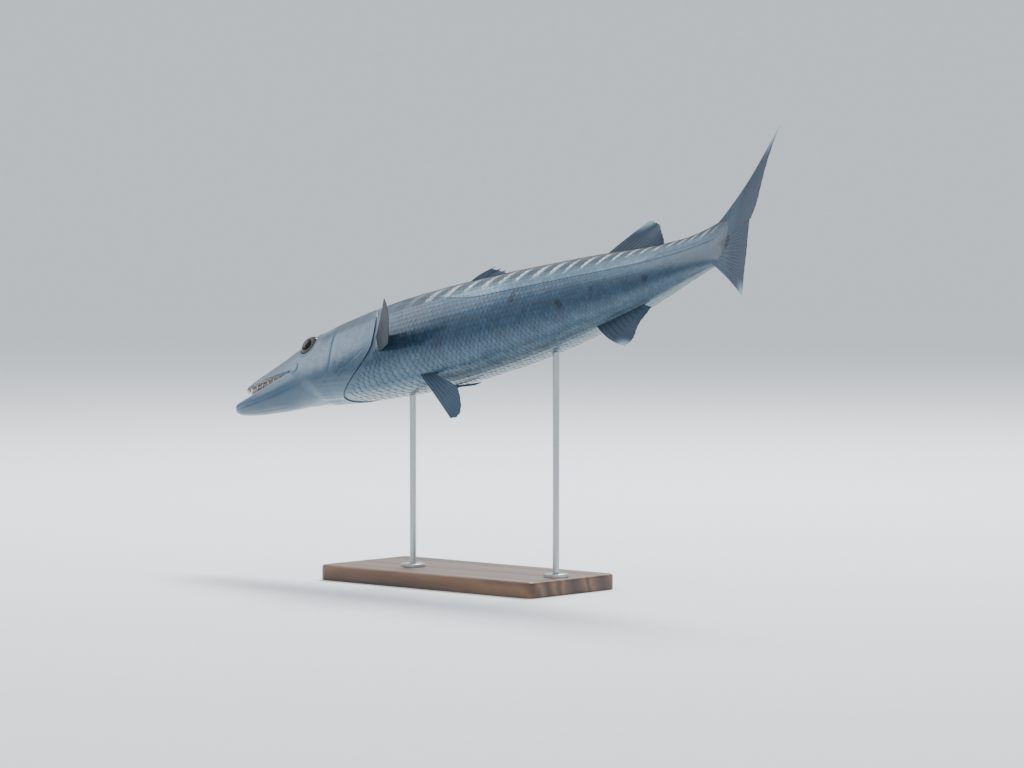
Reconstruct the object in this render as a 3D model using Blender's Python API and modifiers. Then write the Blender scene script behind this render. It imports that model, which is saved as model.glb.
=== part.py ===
"""A life-size museum model of a great barracuda on a plain stand, in a slow banked glide.

The fish is 1 m long from its snout to the root of its tail fin. Its head points to -X, its back
is up, and the stand's base is centred on the origin with its underside at Z = 0.

Places on the fish are given by three numbers, each in hundredths of the standard length:
  station  distance along the spine from the snout tip, 100 at the root of the tail fin
  up       height over the spine, towards the back
  left     distance from the spine towards the fish's own left side
The spine bends only sideways, as a swimming fish's does, and then the whole fish is banked and
tilted nose down.
"""

import math

import bmesh
import bpy
import numpy as np

STANDARD_LENGTH = 1.0
UNIT = STANDARD_LENGTH / 100

# Pose of the fish over the base
MIDDLE_STATION = 50.0
MIDDLE_PLACE = np.array([0.045, 0.0, 0.40])
NOSE_DOWN = math.radians(14.8)
BANK = math.radians(30.0)
# The spine's heading, in radians, is a cubic in the distance from its middle
SWAY = 0.127
CURL = 0.241
WHIP = 0.038
ARCH = -0.045
STRAIGHT_FROM = 107.5
SPINE_END = 126.0

# Fish's outline: station, back, belly, side line, half width, and how square the back and the
# belly halves of its section are (2 is an ellipse, and more is boxier)
BODY = np.array([
    (0.0, 0.75, -0.95, 0.00, 1.20, 2.1, 2.0),
    (3.0, 1.50, -2.10, -0.20, 1.95, 2.2, 2.0),
    (6.5, 2.35, -3.35, -0.50, 2.50, 2.3, 2.0),
    (10.0, 3.20, -4.60, -0.90, 3.05, 2.5, 2.1),
    (13.0, 3.95, -5.70, -1.25, 3.60, 2.7, 2.1),
    (17.0, 5.00, -6.30, -1.10, 4.20, 2.8, 2.2),
    (21.0, 5.70, -6.85, -0.80, 4.75, 2.7, 2.3),
    (25.0, 6.30, -7.35, -0.60, 5.20, 2.5, 2.3),
    (30.0, 6.90, -7.90, -0.40, 5.70, 2.35, 2.2),
    (36.0, 7.30, -8.35, -0.30, 6.20, 2.25, 2.1),
    (45.0, 7.50, -8.55, -0.30, 6.50, 2.2, 2.05),
    (55.0, 7.30, -7.95, -0.20, 6.35, 2.2, 2.05),
    (65.0, 6.95, -6.90, -0.10, 5.60, 2.2, 2.05),
    (72.0, 6.45, -6.00, 0.00, 4.85, 2.2, 2.05),
    (80.0, 5.50, -5.05, 0.00, 3.80, 2.2, 2.1),
    (87.0, 4.45, -4.15, 0.00, 2.80, 2.2, 2.1),
    (93.0, 3.80, -3.65, 0.00, 1.95, 2.2, 2.1),
    (97.0, 3.70, -3.65, 0.00, 1.40, 2.2, 2.2),
    (100.5, 3.90, -3.95, 0.00, 0.85, 2.2, 2.2),
])
# Lower jaw's outline: station, rim, keel and half width
JAW = np.array([
    (-2.4, -2.00, -2.95, 0.95),
    (0.0, -2.05, -3.75, 1.45),
    (3.0, -2.05, -4.50, 1.95),
    (6.5, -1.95, -5.10, 2.45),
    (10.0, -1.80, -5.60, 3.00),
    (13.0, -1.60, -5.85, 3.50),
])
JAW_ROUNDNESS = 2.05
SNOUT_RADIUS = 1.1
CHIN_RADIUS = 1.3
PALATE_ARCH = 0.22
MOUTH_FLOOR_DIP = 0.30

# Where the body is parted
MOUTH_CORNER = 13.0
GILL_EDGE = 30.6
GILL_SWEEP = 2.6
GILL_SWEEP_MEAN = 0.45
GILL_BLEND = 8.0
TRUNK_PARTING = 52.0
STEM_PARTING = 84.5
TAIL_ROOT = 100.5
CUT = 0.035

RING_SIDES = 28
PARTING_SIDES = RING_SIDES // 2

# Eye
EYE_PLACE = (16.2, 2.45)
EYE_RADIUS = 1.85
EYE_DEPTH = 1.15
EYE_BULGE = 0.60
SOCKET_CLEARANCE = 0.035

# Teeth: station and length, one row on each side of a jaw
UPPER_FANGS = ((0.9, 1.10), (1.9, 1.25), (3.4, 0.70), (4.8, 0.60), (6.2, 0.60), (7.6, 0.50), (9.0, 0.45))
LOWER_FANGS = ((-0.9, 0.95), (1.6, 0.55), (3.2, 0.65), (4.8, 0.75), (6.4, 0.80), (8.0, 0.80), (9.6, 0.70))
TOOTH_SIDES = 6
TOOTH_SLIMNESS = 0.16
TOOTH_ROOT_SHARE = 0.27
TOOTH_INSET = 0.84

# Stand
BASE_SIZE = (0.44, 0.20, 0.024)
BASE_CORNER = 0.014
BASE_EASE = 0.004
CORNER_STEPS = 7
EASE_STEPS = 5
ROD_RADIUS = 0.005
ROD_STATIONS = {"front": 34.5, "rear": 63.0}
ROD_SIDES = 20
FOOT_RADIUS = 0.019
FOOT_HEIGHT = 0.005
ROD_IN_BODY = 0.030
GAP = 0.0003

COLOURS = {
    "flesh": (0.30, 0.38, 0.43, 0.35, 0.15),
    "fin": (0.10, 0.12, 0.14, 0.45, 0.0),
    "pale_fin": (0.42, 0.46, 0.47, 0.45, 0.0),
    "eye": (0.03, 0.03, 0.03, 0.08, 0.0),
    "walnut": (0.12, 0.06, 0.03, 0.40, 0.0),
    "steel": (0.60, 0.60, 0.62, 0.30, 1.0),
}


def clear_scene():
    for obj in list(bpy.data.objects):
        bpy.data.objects.remove(obj, do_unlink=True)


def make_collections():
    made = {}
    for name in ("barracuda", "cutters"):
        made[name] = bpy.data.collections.new(name)
        bpy.context.scene.collection.children.link(made[name])
    return made


def make_material(name):
    red, green, blue, roughness, metallic = COLOURS[name]
    material = bpy.data.materials.new(name)
    material.use_nodes = True
    shader = material.node_tree.nodes["Principled BSDF"]
    shader.inputs["Base Color"].default_value = (red, green, blue, 1.0)
    shader.inputs["Roughness"].default_value = roughness
    shader.inputs["Metallic"].default_value = metallic
    return material


def smooth_through(x, knots, values):
    """Cubic Hermite curve through the knots whose slopes never overshoot them."""
    x = np.asarray(x, float)
    step = np.diff(knots)
    rise = np.diff(values) / step
    slope = np.empty_like(values)
    slope[0] = rise[0]
    slope[-1] = rise[-1]
    same_way = rise[:-1] * rise[1:] > 0
    mean = 2 * rise[:-1] * rise[1:] / np.where(same_way, rise[:-1] + rise[1:], 1.0)
    slope[1:-1] = np.where(same_way, mean, 0.0)
    i = np.clip(np.searchsorted(knots, x) - 1, 0, len(step) - 1)
    t = np.clip((x - knots[i]) / step[i], 0.0, 1.0)
    h = step[i]
    return (
        values[i] * (1 + 2 * t) * (1 - t) ** 2
        + slope[i] * h * t * (1 - t) ** 2
        + values[i + 1] * t * t * (3 - 2 * t)
        + slope[i + 1] * h * t * t * (t - 1)
    )


def back(station):
    return smooth_through(station, BODY[:, 0], BODY[:, 1])


def belly(station):
    return smooth_through(station, BODY[:, 0], BODY[:, 2])


def side_line(station):
    return smooth_through(station, BODY[:, 0], BODY[:, 3])


def half_width(station):
    return smooth_through(station, BODY[:, 0], BODY[:, 4])


def back_roundness(station):
    return smooth_through(station, BODY[:, 0], BODY[:, 5])


def belly_roundness(station):
    return smooth_through(station, BODY[:, 0], BODY[:, 6])


def jaw_outline(station):
    """The lower jaw's rim, keel and half width."""
    return [smooth_through(station, JAW[:, 0], JAW[:, column]) for column in (1, 2, 3)]


def heading(station):
    """The spine's tailward direction: its angle towards the fish's left and its angle upwards."""
    t = (np.clip(station, 0.0, STRAIGHT_FROM) - MIDDLE_STATION) / MIDDLE_STATION
    turn = SWAY * t + CURL * (t**2 - 1 / 3) + WHIP * (t**3 - 0.6 * t)
    return turn, ARCH * t


def spine_line():
    """Stations along the spine with their places, before the fish is banked and tilted."""
    stations = np.linspace(-MIDDLE_STATION / 10, SPINE_END, 525)
    turn, rise = heading(stations)
    steps = np.stack([np.cos(turn) * np.cos(rise), -np.sin(turn) * np.cos(rise), np.sin(rise)], axis=1)
    middles = (steps[1:] + steps[:-1]) / 2 * np.diff(stations)[:, None]
    places = np.vstack([np.zeros(3), np.cumsum(middles, axis=0)])
    centre = [np.interp(MIDDLE_STATION, stations, places[:, axis]) for axis in range(3)]
    return stations, places - np.array(centre)


SPINE_STATIONS, SPINE_PLACES = spine_line()


def pose_matrix():
    """Banks the fish with its left side up, then tilts its nose down."""
    sin_bank, cos_bank = math.sin(BANK), math.cos(BANK)
    sin_tilt, cos_tilt = math.sin(NOSE_DOWN), math.cos(NOSE_DOWN)
    bank = np.array([[1, 0, 0], [0, cos_bank, sin_bank], [0, -sin_bank, cos_bank]])
    tilt = np.array([[cos_tilt, 0, -sin_tilt], [0, 1, 0], [sin_tilt, 0, cos_tilt]])
    return tilt @ bank


POSE = pose_matrix()


def on_fish(station, up, left):
    """World places of points given by station, up and left, as an array with three columns."""
    station, up, left = np.broadcast_arrays(*(np.asarray(v, float) for v in (station, up, left)))
    turn, rise = heading(station)
    spine = [np.interp(station, SPINE_STATIONS, SPINE_PLACES[:, axis]) for axis in range(3)]
    forward = up * np.sin(rise)
    local = np.stack(
        [
            spine[0] - left * np.sin(turn) - forward * np.cos(turn),
            spine[1] - left * np.cos(turn) + forward * np.sin(turn),
            spine[2] + up * np.cos(rise),
        ],
        axis=-1,
    )
    return MIDDLE_PLACE + UNIT * local @ POSE.T


def loft(name, rings, material, collection, is_plate=False):
    """A closed solid through rings of equal size, each an array of points in the same turning order.

    A plate's rings run out along one face and back along the other, and its ends are closed with
    strips. Any other solid's ends are closed with a fan about each end ring's middle.
    """
    rings = np.asarray(rings, float)
    sides = rings.shape[1]
    mesh_builder = bmesh.new()
    verts = [[mesh_builder.verts.new(point) for point in ring] for ring in rings]
    for lower, upper in zip(verts[:-1], verts[1:]):
        for k in range(sides):
            following = (k + 1) % sides
            mesh_builder.faces.new((lower[k], lower[following], upper[following], upper[k]))
    for ring, points in ((verts[0], rings[0]), (verts[-1], rings[-1])):
        if is_plate:
            for k in range(sides // 2 - 1):
                mesh_builder.faces.new((ring[k], ring[k + 1], ring[-k - 2], ring[-k - 1]))
        else:
            middle = mesh_builder.verts.new(points.mean(axis=0))
            for k in range(sides):
                mesh_builder.faces.new((ring[k], ring[(k + 1) % sides], middle))
    return finish_object(name, mesh_builder, material, collection)


def finish_object(name, mesh_builder, material, collection):
    mesh_builder.normal_update()
    bmesh.ops.recalc_face_normals(mesh_builder, faces=mesh_builder.faces)
    mesh = bpy.data.meshes.new(name)
    mesh_builder.to_mesh(mesh)
    mesh_builder.free()
    obj = bpy.data.objects.new(name, mesh)
    collection.objects.link(obj)
    if material is not None:
        mesh.materials.append(material)
    mesh.shade_smooth()
    mesh.set_sharp_from_angle(angle=math.radians(40))
    return obj


def make_cutter(obj):
    obj.hide_render = True
    obj.display_type = "WIRE"
    return obj


def add_boolean(obj, other, operation):
    modifier = obj.modifiers.new(f"{operation.lower()} {other.name}", "BOOLEAN")
    modifier.operation = operation
    modifier.object = other


def upper_half(base, top, width, roundness):
    """The section's back: a rounded arch from the left side line over the top to the right one."""
    angle = np.linspace(math.pi / 2, -math.pi / 2, PARTING_SIDES, endpoint=False)
    power = 2 / roundness
    up = base + (top - base) * np.cos(angle) ** power
    left = width * np.sign(np.sin(angle)) * np.abs(np.sin(angle)) ** power
    return up, left


def lower_half(base, bottom, width, roundness):
    """The section's underside, from the right side line under the belly to the left one."""
    angle = np.linspace(-math.pi / 2, math.pi / 2, RING_SIDES - PARTING_SIDES, endpoint=False)
    power = 2 / roundness
    up = base + (bottom - base) * np.cos(angle) ** power
    left = width * np.sign(np.sin(angle)) * np.abs(np.sin(angle)) ** power
    return up, left


def section(station, shrink=1.0, has_jaw=False):
    """One ring of the body. Ahead of the mouth's corner its underside is the palate."""
    base, top, width = side_line(station), back(station), half_width(station)
    bottom = base + PALATE_ARCH * (top - base) if has_jaw else belly(station)
    middle = (top + base) / 2 if has_jaw else base
    upper_up, upper_left = upper_half(base, top, width, back_roundness(station))
    lower_up, lower_left = lower_half(base, bottom, width, belly_roundness(station))
    up = np.concatenate([upper_up, lower_up])
    left = np.concatenate([upper_left, lower_left])
    return middle + (up - middle) * shrink, left * shrink


def gill_shift(station):
    """How far a ring's points move tailwards so that the gill cover's edge is a rounded flap."""
    nearness = np.clip(1 - abs(station - GILL_EDGE) / GILL_BLEND, 0, 1)
    nearness = nearness * nearness * (3 - 2 * nearness)
    angle = np.arange(RING_SIDES) / RING_SIDES * 2 * math.pi
    return GILL_SWEEP * nearness * (np.cos(angle) ** 2 - GILL_SWEEP_MEAN)


def body_ring(station, shrink=1.0, has_jaw=False):
    up, left = section(station, shrink, has_jaw)
    shift = 0 if has_jaw else gill_shift(station)
    return on_fish(station + shift, up, left)


def jaw_ring(station, shrink=1.0):
    """One ring of the lower jaw: a shallow trough on top and a rounded keel below."""
    rim, keel, width = jaw_outline(station)
    floor = rim + MOUTH_FLOOR_DIP * (keel - rim)
    lower_up, lower_left = lower_half(rim, keel, width, JAW_ROUNDNESS)
    trough = (lower_up - rim) / (keel - rim)
    up = np.concatenate([rim + (floor - rim) * trough, lower_up])
    left = np.concatenate([-lower_left, lower_left])
    middle = (rim + keel) / 2
    return on_fish(station, middle + (up - middle) * shrink, left * shrink)


def rounded_tip(tip, radius, count):
    """Stations from a blunt tip and the share of the full section at each."""
    depth = np.linspace(0.08, 1.0, count) ** 1.5
    return tip + radius * depth, np.sqrt(1 - (1 - depth) ** 2)


def make_tooth(mesh_builder, station, left, root_up, tip_up):
    """A slim cone from inside the jaw to the tooth's point."""
    length = abs(tip_up - root_up)
    radius = TOOTH_SLIMNESS * length
    around = np.arange(TOOTH_SIDES) / TOOTH_SIDES * 2 * math.pi
    root = on_fish(station + radius * np.cos(around), root_up, left + 0.6 * radius * np.sin(around))
    point = on_fish(station + 0.15 * length, tip_up, left * 0.97)
    ring = [mesh_builder.verts.new(place) for place in root]
    tip = mesh_builder.verts.new(point)
    mesh_builder.faces.new(ring)
    for k in range(TOOTH_SIDES):
        mesh_builder.faces.new((ring[k], ring[(k + 1) % TOOTH_SIDES], tip))


def make_teeth(name, fangs, is_lower, cutters):
    """All teeth of one jaw, as one helper that a union joins to it."""
    mesh_builder = bmesh.new()
    for station, length in fangs:
        if is_lower:
            rim, keel, width = jaw_outline(station)
            root_up = rim - TOOTH_ROOT_SHARE * (rim - keel)
            tip_up = rim + length
        else:
            rim, width = side_line(station), half_width(station)
            root_up = rim + TOOTH_ROOT_SHARE * (back(station) - rim)
            tip_up = rim - length
        for side in (-1, 1):
            make_tooth(mesh_builder, station, side * TOOTH_INSET * width, root_up, tip_up)
    return make_cutter(finish_object(name, mesh_builder, None, cutters))


def eye_ball(name, side, grow, material, collection):
    """A flattened ball whose pole faces outwards, set into the side of the head."""
    station, up = EYE_PLACE
    centre_left = side * (surface_left(station, up) + EYE_BULGE - EYE_DEPTH)
    mesh_builder = bmesh.new()
    bmesh.ops.create_uvsphere(mesh_builder, u_segments=16, v_segments=8, radius=1.0)
    for vert in mesh_builder.verts:
        across, along, pole = vert.co
        vert.co = on_fish(
            station + (EYE_RADIUS + grow) * along,
            up + (EYE_RADIUS + grow) * across,
            centre_left + side * (EYE_DEPTH + grow) * pole,
        )
    return finish_object(name, mesh_builder, material, collection)


def make_head(materials, parts, cutters):
    tip_stations, shares = rounded_tip(0.0, SNOUT_RADIUS, 5)
    rings = [body_ring(s, share, has_jaw=True) for s, share in zip(tip_stations, shares)]
    rings += [body_ring(s, has_jaw=True) for s in np.linspace(2.2, MOUTH_CORNER, 7)]
    rings += [body_ring(s) for s in np.linspace(MOUTH_CORNER + 0.05, GILL_EDGE - CUT / 2, 11)]
    head = loft("head", rings, materials["flesh"], parts)
    for side, name in ((1, "left"), (-1, "right")):
        eye_ball(f"eye_{name}", side, 0.0, materials["eye"], parts)
        socket = eye_ball(f"socket_{name}", side, SOCKET_CLEARANCE, None, cutters)
        add_boolean(head, make_cutter(socket), "DIFFERENCE")
    add_boolean(head, make_teeth("upper_teeth", UPPER_FANGS, False, cutters), "UNION")


def make_lower_jaw(materials, parts, cutters):
    tip_stations, shares = rounded_tip(JAW[0, 0], CHIN_RADIUS, 5)
    rings = [jaw_ring(s, share) for s, share in zip(tip_stations, shares)]
    rings += [jaw_ring(s) for s in np.linspace(0.9, MOUTH_CORNER - CUT, 7)]
    jaw = loft("lower_jaw", rings, materials["flesh"], parts)
    add_boolean(jaw, make_teeth("lower_teeth", LOWER_FANGS, True, cutters), "UNION")


def make_trunk(materials, parts):
    """The body behind the gills, in three lengths."""
    spans = {
        "trunk_front": (GILL_EDGE, TRUNK_PARTING, 9),
        "trunk_rear": (TRUNK_PARTING, STEM_PARTING, 10),
        "tail_stem": (STEM_PARTING, TAIL_ROOT, 8),
    }
    made = {}
    for name, (start, end, count) in spans.items():
        stations = np.linspace(start + CUT / 2, end - CUT / 2, count)
        made[name] = loft(name, [body_ring(s) for s in stations], materials["flesh"], parts)
    return made


def plate(name, rows, thickness, material, collection):
    """A thin closed fin. rows[j][i] are its middle sheet's points, row by row away from the root."""
    rows = np.asarray(rows, float)
    along = np.gradient(rows, axis=1)
    out = np.gradient(rows, axis=0)
    normal = np.cross(along, out)
    normal /= np.linalg.norm(normal, axis=2, keepdims=True)
    offset = normal * np.asarray(thickness)[..., None] * UNIT / 2
    rings = np.concatenate([rows + offset, (rows - offset)[:, ::-1]], axis=1)
    return loft(name, rings, material, collection, is_plate=True)


def bezier(points, t):
    """Quadratic curve from the first point to the last, drawn towards the middle one."""
    first, pull, last = (np.asarray(p, float) for p in points)
    t = np.asarray(t)[:, None]
    return first * (1 - t) ** 2 + pull * 2 * t * (1 - t) + last * t**2


# Fins on the fish's midline: the root's two stations, and the outer margin's start, pull and
# end as (station, height over or depth under the root line)
MIDLINE_FINS = {
    "first_dorsal_fin": {
        "root": (43.4, 53.0), "margin": ((49.4, 3.3), (51.4, 2.6), (54.0, 0.40)),
        "bow": 0.9, "on_back": True,
    },
    "second_dorsal_fin": {
        "root": (71.8, 82.0), "margin": ((81.0, 5.2), (84.2, 4.7), (85.0, 0.6)),
        "bow": 0.5, "on_back": True,
    },
    "anal_fin": {
        "root": (73.6, 83.0), "margin": ((81.0, 6.2), (82.5, 4.9), (84.8, 0.9)),
        "bow": 0.5, "on_back": False,
    },
}
FIN_ROWS = np.array([0.0, 0.12, 0.35, 0.65, 1.0])
FIN_COLUMNS = 9
FIN_ROOT_THICKNESS = 0.70
FIN_EDGE_THICKNESS = 0.07
FIN_RIM_SHARE = 0.45


def fin_thickness(rows, columns, root_thickness):
    """Thick at the root, thin at the margin, and thinner at the front and rear edges."""
    across = 1 - (1 - FIN_RIM_SHARE) * np.abs(np.linspace(-1, 1, columns)) ** 3
    fade = (1 - rows) ** 1.6
    grown = FIN_EDGE_THICKNESS + (root_thickness - FIN_EDGE_THICKNESS) * np.outer(fade, across)
    return np.maximum(grown, FIN_EDGE_THICKNESS)


def make_midline_fin(name, shape, materials, parts):
    t = np.linspace(0, 1, FIN_COLUMNS)
    root_station = shape["root"][0] + t * (shape["root"][1] - shape["root"][0])
    line = back if shape["on_back"] else belly
    way = 1 if shape["on_back"] else -1
    margin = bezier(shape["margin"], t)
    root_up = line(root_station) + way * CUT
    edge_up = line(np.minimum(margin[:, 0], TAIL_ROOT)) + way * margin[:, 1]
    rows = []
    for v in FIN_ROWS:
        bow = shape["bow"] * 4 * v * (1 - v) * (1 - t)
        station = root_station * (1 - v) + margin[:, 0] * v - bow
        rows.append(on_fish(station, root_up * (1 - v) + edge_up * v + way * bow * 0.6, 0.0))
    thickness = fin_thickness(FIN_ROWS, FIN_COLUMNS, FIN_ROOT_THICKNESS)
    plate(name, rows, thickness, materials["fin"], parts)


# Tail fin's lobes: the margin from the middle ray out to the tip, as (station, height), and its way
UPPER_TAIL_MARGIN = np.array([(110.2, 0.0), (110.8, 2.0), (111.1, 4.2), (111.9, 7.0), (113.4, 10.0), (115.4, 13.1)])
LOWER_TAIL_MARGIN = np.array([(109.8, 0.0), (109.9, 2.6), (110.4, 5.2), (111.2, 8.2), (112.2, 11.0), (113.2, 14.0)])
TAIL_LOBES = {"tail_fin_upper": (1, UPPER_TAIL_MARGIN), "tail_fin_lower": (-1, LOWER_TAIL_MARGIN)}
LOBE_COLUMNS = 11
TAIL_ROOT_THICKNESS = 1.5


def make_tail_lobe(name, way, margin, materials, parts):
    """Half of the tail fin, from its middle ray to its outer edge."""
    t = np.linspace(0, 1, LOBE_COLUMNS)
    knots = np.linspace(0, 1, len(margin))
    edge_station = smooth_through(t, knots, margin[:, 0])
    edge_up = smooth_through(t, knots, margin[:, 1])
    outer = back(TAIL_ROOT) if way > 0 else -belly(TAIL_ROOT)
    root_up = CUT / 2 + t * (outer - CUT / 2)
    rows = []
    for v in FIN_ROWS:
        station = (TAIL_ROOT + CUT / 2) * (1 - v) + edge_station * v
        up = root_up * (1 - v) + np.maximum(edge_up, CUT / 2) * v
        rows.append(on_fish(station, way * up, 0.0))
    thickness = fin_thickness(FIN_ROWS, LOBE_COLUMNS, TAIL_ROOT_THICKNESS)
    plate(name, rows, thickness, materials["fin"], parts)


# Paired fins: the root's front and rear as (station, up), and the rays' reach as
# (tailward, up, outward) for the front ray and the rear ray
PAIRED_FINS = {
    "pectoral_fin_left": {
        "root": ((33.0, -1.2), (33.9, -3.9)), "front": (7.6, 0.6, 7.9), "rear": (4.6, -1.6, 3.4), "side": 1,
    },
    "pectoral_fin_right": {
        "root": ((33.0, -1.2), (33.9, -3.9)), "front": (10.4, -0.6, 1.9), "rear": (5.4, -1.4, 1.3), "side": -1,
    },
    "pelvic_fin_left": {
        "root": ((40.4, -8.0), (43.0, -8.1)), "front": (8.2, -9.4, 0.3), "rear": (5.6, -3.6, 0.3), "side": 1,
    },
    "pelvic_fin_right": {
        "root": ((40.4, -8.0), (43.0, -8.1)), "front": (7.0, -0.6, 0.3), "rear": (4.8, -0.2, 0.4), "side": -1,
    },
}
PAIRED_COLUMNS = 8
PAIRED_ROOT_THICKNESS = 0.40
PAIRED_ROOT_LIFT = 0.22


def surface_left(station, up):
    """Half width of the body's surface at a height."""
    base = side_line(station)
    above = up > base
    reach = np.where(above, back(station) - base, base - belly(station))
    roundness = np.where(above, back_roundness(station), belly_roundness(station))
    share = np.clip(np.abs(up - base) / reach, 0, 1)
    return half_width(station) * (1 - share**roundness) ** (1 / roundness)


def outward_normal(station, up):
    """Direction of the body's surface at a point of its left side, as (up, left)."""
    step = 0.02
    slope = (surface_left(station, up + step) - surface_left(station, up - step)) / (2 * step)
    length = np.sqrt(1 + slope**2)
    return -slope / length, 1 / length


def make_paired_fin(name, shape, materials, parts):
    t = np.linspace(0, 1, PAIRED_COLUMNS)[:, None]
    root = np.array(shape["root"][0]) * (1 - t) + np.array(shape["root"][1]) * t
    normal_up, normal_left = outward_normal(root[:, 0], root[:, 1])
    root_left = surface_left(root[:, 0], root[:, 1]) + PAIRED_ROOT_LIFT * normal_left
    root_up = root[:, 1] + PAIRED_ROOT_LIFT * normal_up
    reach = np.array(shape["front"]) * (1 - t) + np.array(shape["rear"]) * t
    bulge = 1 + 0.22 * np.sin(math.pi * t)
    rows = []
    for v in FIN_ROWS:
        station = root[:, 0] + v * reach[:, 0] * bulge[:, 0]
        up = root_up + v * reach[:, 1] * bulge[:, 0]
        left = shape["side"] * (root_left + v * reach[:, 2] * bulge[:, 0])
        rows.append(on_fish(station, up, left))
    thickness = fin_thickness(FIN_ROWS, PAIRED_COLUMNS, PAIRED_ROOT_THICKNESS)
    plate(name, rows, thickness, materials["pale_fin"], parts)


def make_base(materials, parts):
    """A flat slab with rounded corners and a rounded top edge."""
    half = np.array(BASE_SIZE[:2]) / 2
    turn = np.concatenate([
        np.linspace(corner, corner + math.pi / 2, CORNER_STEPS) for corner in np.arange(4) * math.pi / 2
    ])
    corners = np.repeat([(1, 1), (-1, 1), (-1, -1), (1, -1)], CORNER_STEPS, axis=0)
    rings = []
    ease = np.linspace(0, math.pi / 2, EASE_STEPS)
    heights = np.concatenate([[0.0], BASE_SIZE[2] - BASE_EASE * (1 - np.sin(ease))])
    insets = np.concatenate([[0.0], BASE_EASE * (1 - np.cos(ease))])
    for height, inset in zip(heights, insets):
        radius = BASE_CORNER - inset
        centre = corners * (half - BASE_CORNER)
        round_part = radius * np.stack([np.cos(turn), np.sin(turn)], axis=1)
        rings.append(np.column_stack([centre + round_part, np.full(len(turn), height)]))
    return loft("stand_base", rings, materials["walnut"], parts)


def lowest_place(station):
    """The lowest point of the body's ring at a station, once the fish is banked."""
    up, left = section(station)
    closed = np.arange(RING_SIDES + 1)
    fine = np.linspace(0, RING_SIDES, 20 * RING_SIDES + 1)
    up = np.interp(fine, closed, np.append(up, up[0]))
    left = np.interp(fine, closed, np.append(left, left[0]))
    places = on_fish(station, up, left)
    return places[np.argmin(places[:, 2])]


def turned(name, profile, material, collection):
    """A round piece about its own Z axis, from a profile of (radius, height) run from top to bottom."""
    mesh_builder = bmesh.new()
    verts = [mesh_builder.verts.new((radius, 0.0, height)) for radius, height in profile]
    for first, second in zip(verts[:-1], verts[1:]):
        mesh_builder.edges.new((first, second))
    obj = finish_object(name, mesh_builder, material, collection)
    screw = obj.modifiers.new("turn", "SCREW")
    screw.steps = ROD_SIDES
    screw.render_steps = ROD_SIDES
    screw.use_merge_vertices = True
    screw.merge_threshold = 0.00005
    screw.use_smooth_shade = True
    return obj


def make_rods(materials, parts, cutters, trunk):
    """Two upright rods, each on a round foot. Each one's top sits in a hole in the belly."""
    for place, station in ROD_STATIONS.items():
        x, y, belly_height = lowest_place(station)
        foot_profile = (
            (0.0, FOOT_HEIGHT), (FOOT_RADIUS * 0.92, FOOT_HEIGHT), (FOOT_RADIUS, FOOT_HEIGHT * 0.75),
            (FOOT_RADIUS, 0.0), (0.0, 0.0),
        )
        foot = turned(f"stand_foot_{place}", foot_profile, materials["steel"], parts)
        foot.location = (x, y, BASE_SIZE[2] + GAP)
        bottom = BASE_SIZE[2] + FOOT_HEIGHT + 2 * GAP
        height = belly_height + ROD_IN_BODY - bottom
        rod_profile = (
            (0.0, height), (ROD_RADIUS * 0.8, height), (ROD_RADIUS, height - ROD_RADIUS * 0.2),
            (ROD_RADIUS, 0.0), (0.0, 0.0),
        )
        rod = turned(f"stand_rod_{place}", rod_profile, materials["steel"], parts)
        rod.location = (x, y, bottom)
        hole_radius = ROD_RADIUS + GAP
        hole_profile = (
            (0.0, height + GAP), (hole_radius, height + GAP),
            (hole_radius, height - 3 * ROD_IN_BODY), (0.0, height - 3 * ROD_IN_BODY),
        )
        hole = turned(f"hole_{place}", hole_profile, None, cutters)
        hole.location = rod.location
        make_cutter(hole)
        owner = trunk["trunk_front"] if station < TRUNK_PARTING else trunk["trunk_rear"]
        add_boolean(owner, hole, "DIFFERENCE")


def main():
    clear_scene()
    collections = make_collections()
    parts, cutters = collections["barracuda"], collections["cutters"]
    materials = {name: make_material(name) for name in COLOURS}
    make_head(materials, parts, cutters)
    make_lower_jaw(materials, parts, cutters)
    trunk = make_trunk(materials, parts)
    for name, shape in MIDLINE_FINS.items():
        make_midline_fin(name, shape, materials, parts)
    for name, (way, margin) in TAIL_LOBES.items():
        make_tail_lobe(name, way, margin, materials, parts)
    for name, shape in PAIRED_FINS.items():
        make_paired_fin(name, shape, materials, parts)
    make_base(materials, parts)
    make_rods(materials, parts, cutters, trunk)


main()
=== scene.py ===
# %% [markdown]
# # A life-size barracuda on a display stand
#
# This script dresses a barracuda that was already built as plain solids. The solids give the true
# size and place of every part. Here they are covered with one smooth skin, thousands of scales,
# rayed fins, teeth and glass eyes, and the stand gets its wood and steel.
#
# The first cell loads the solids, and notes the box they fill, so that the finished model can be
# checked against it at the end.

# %% Load the solids
import math

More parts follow.
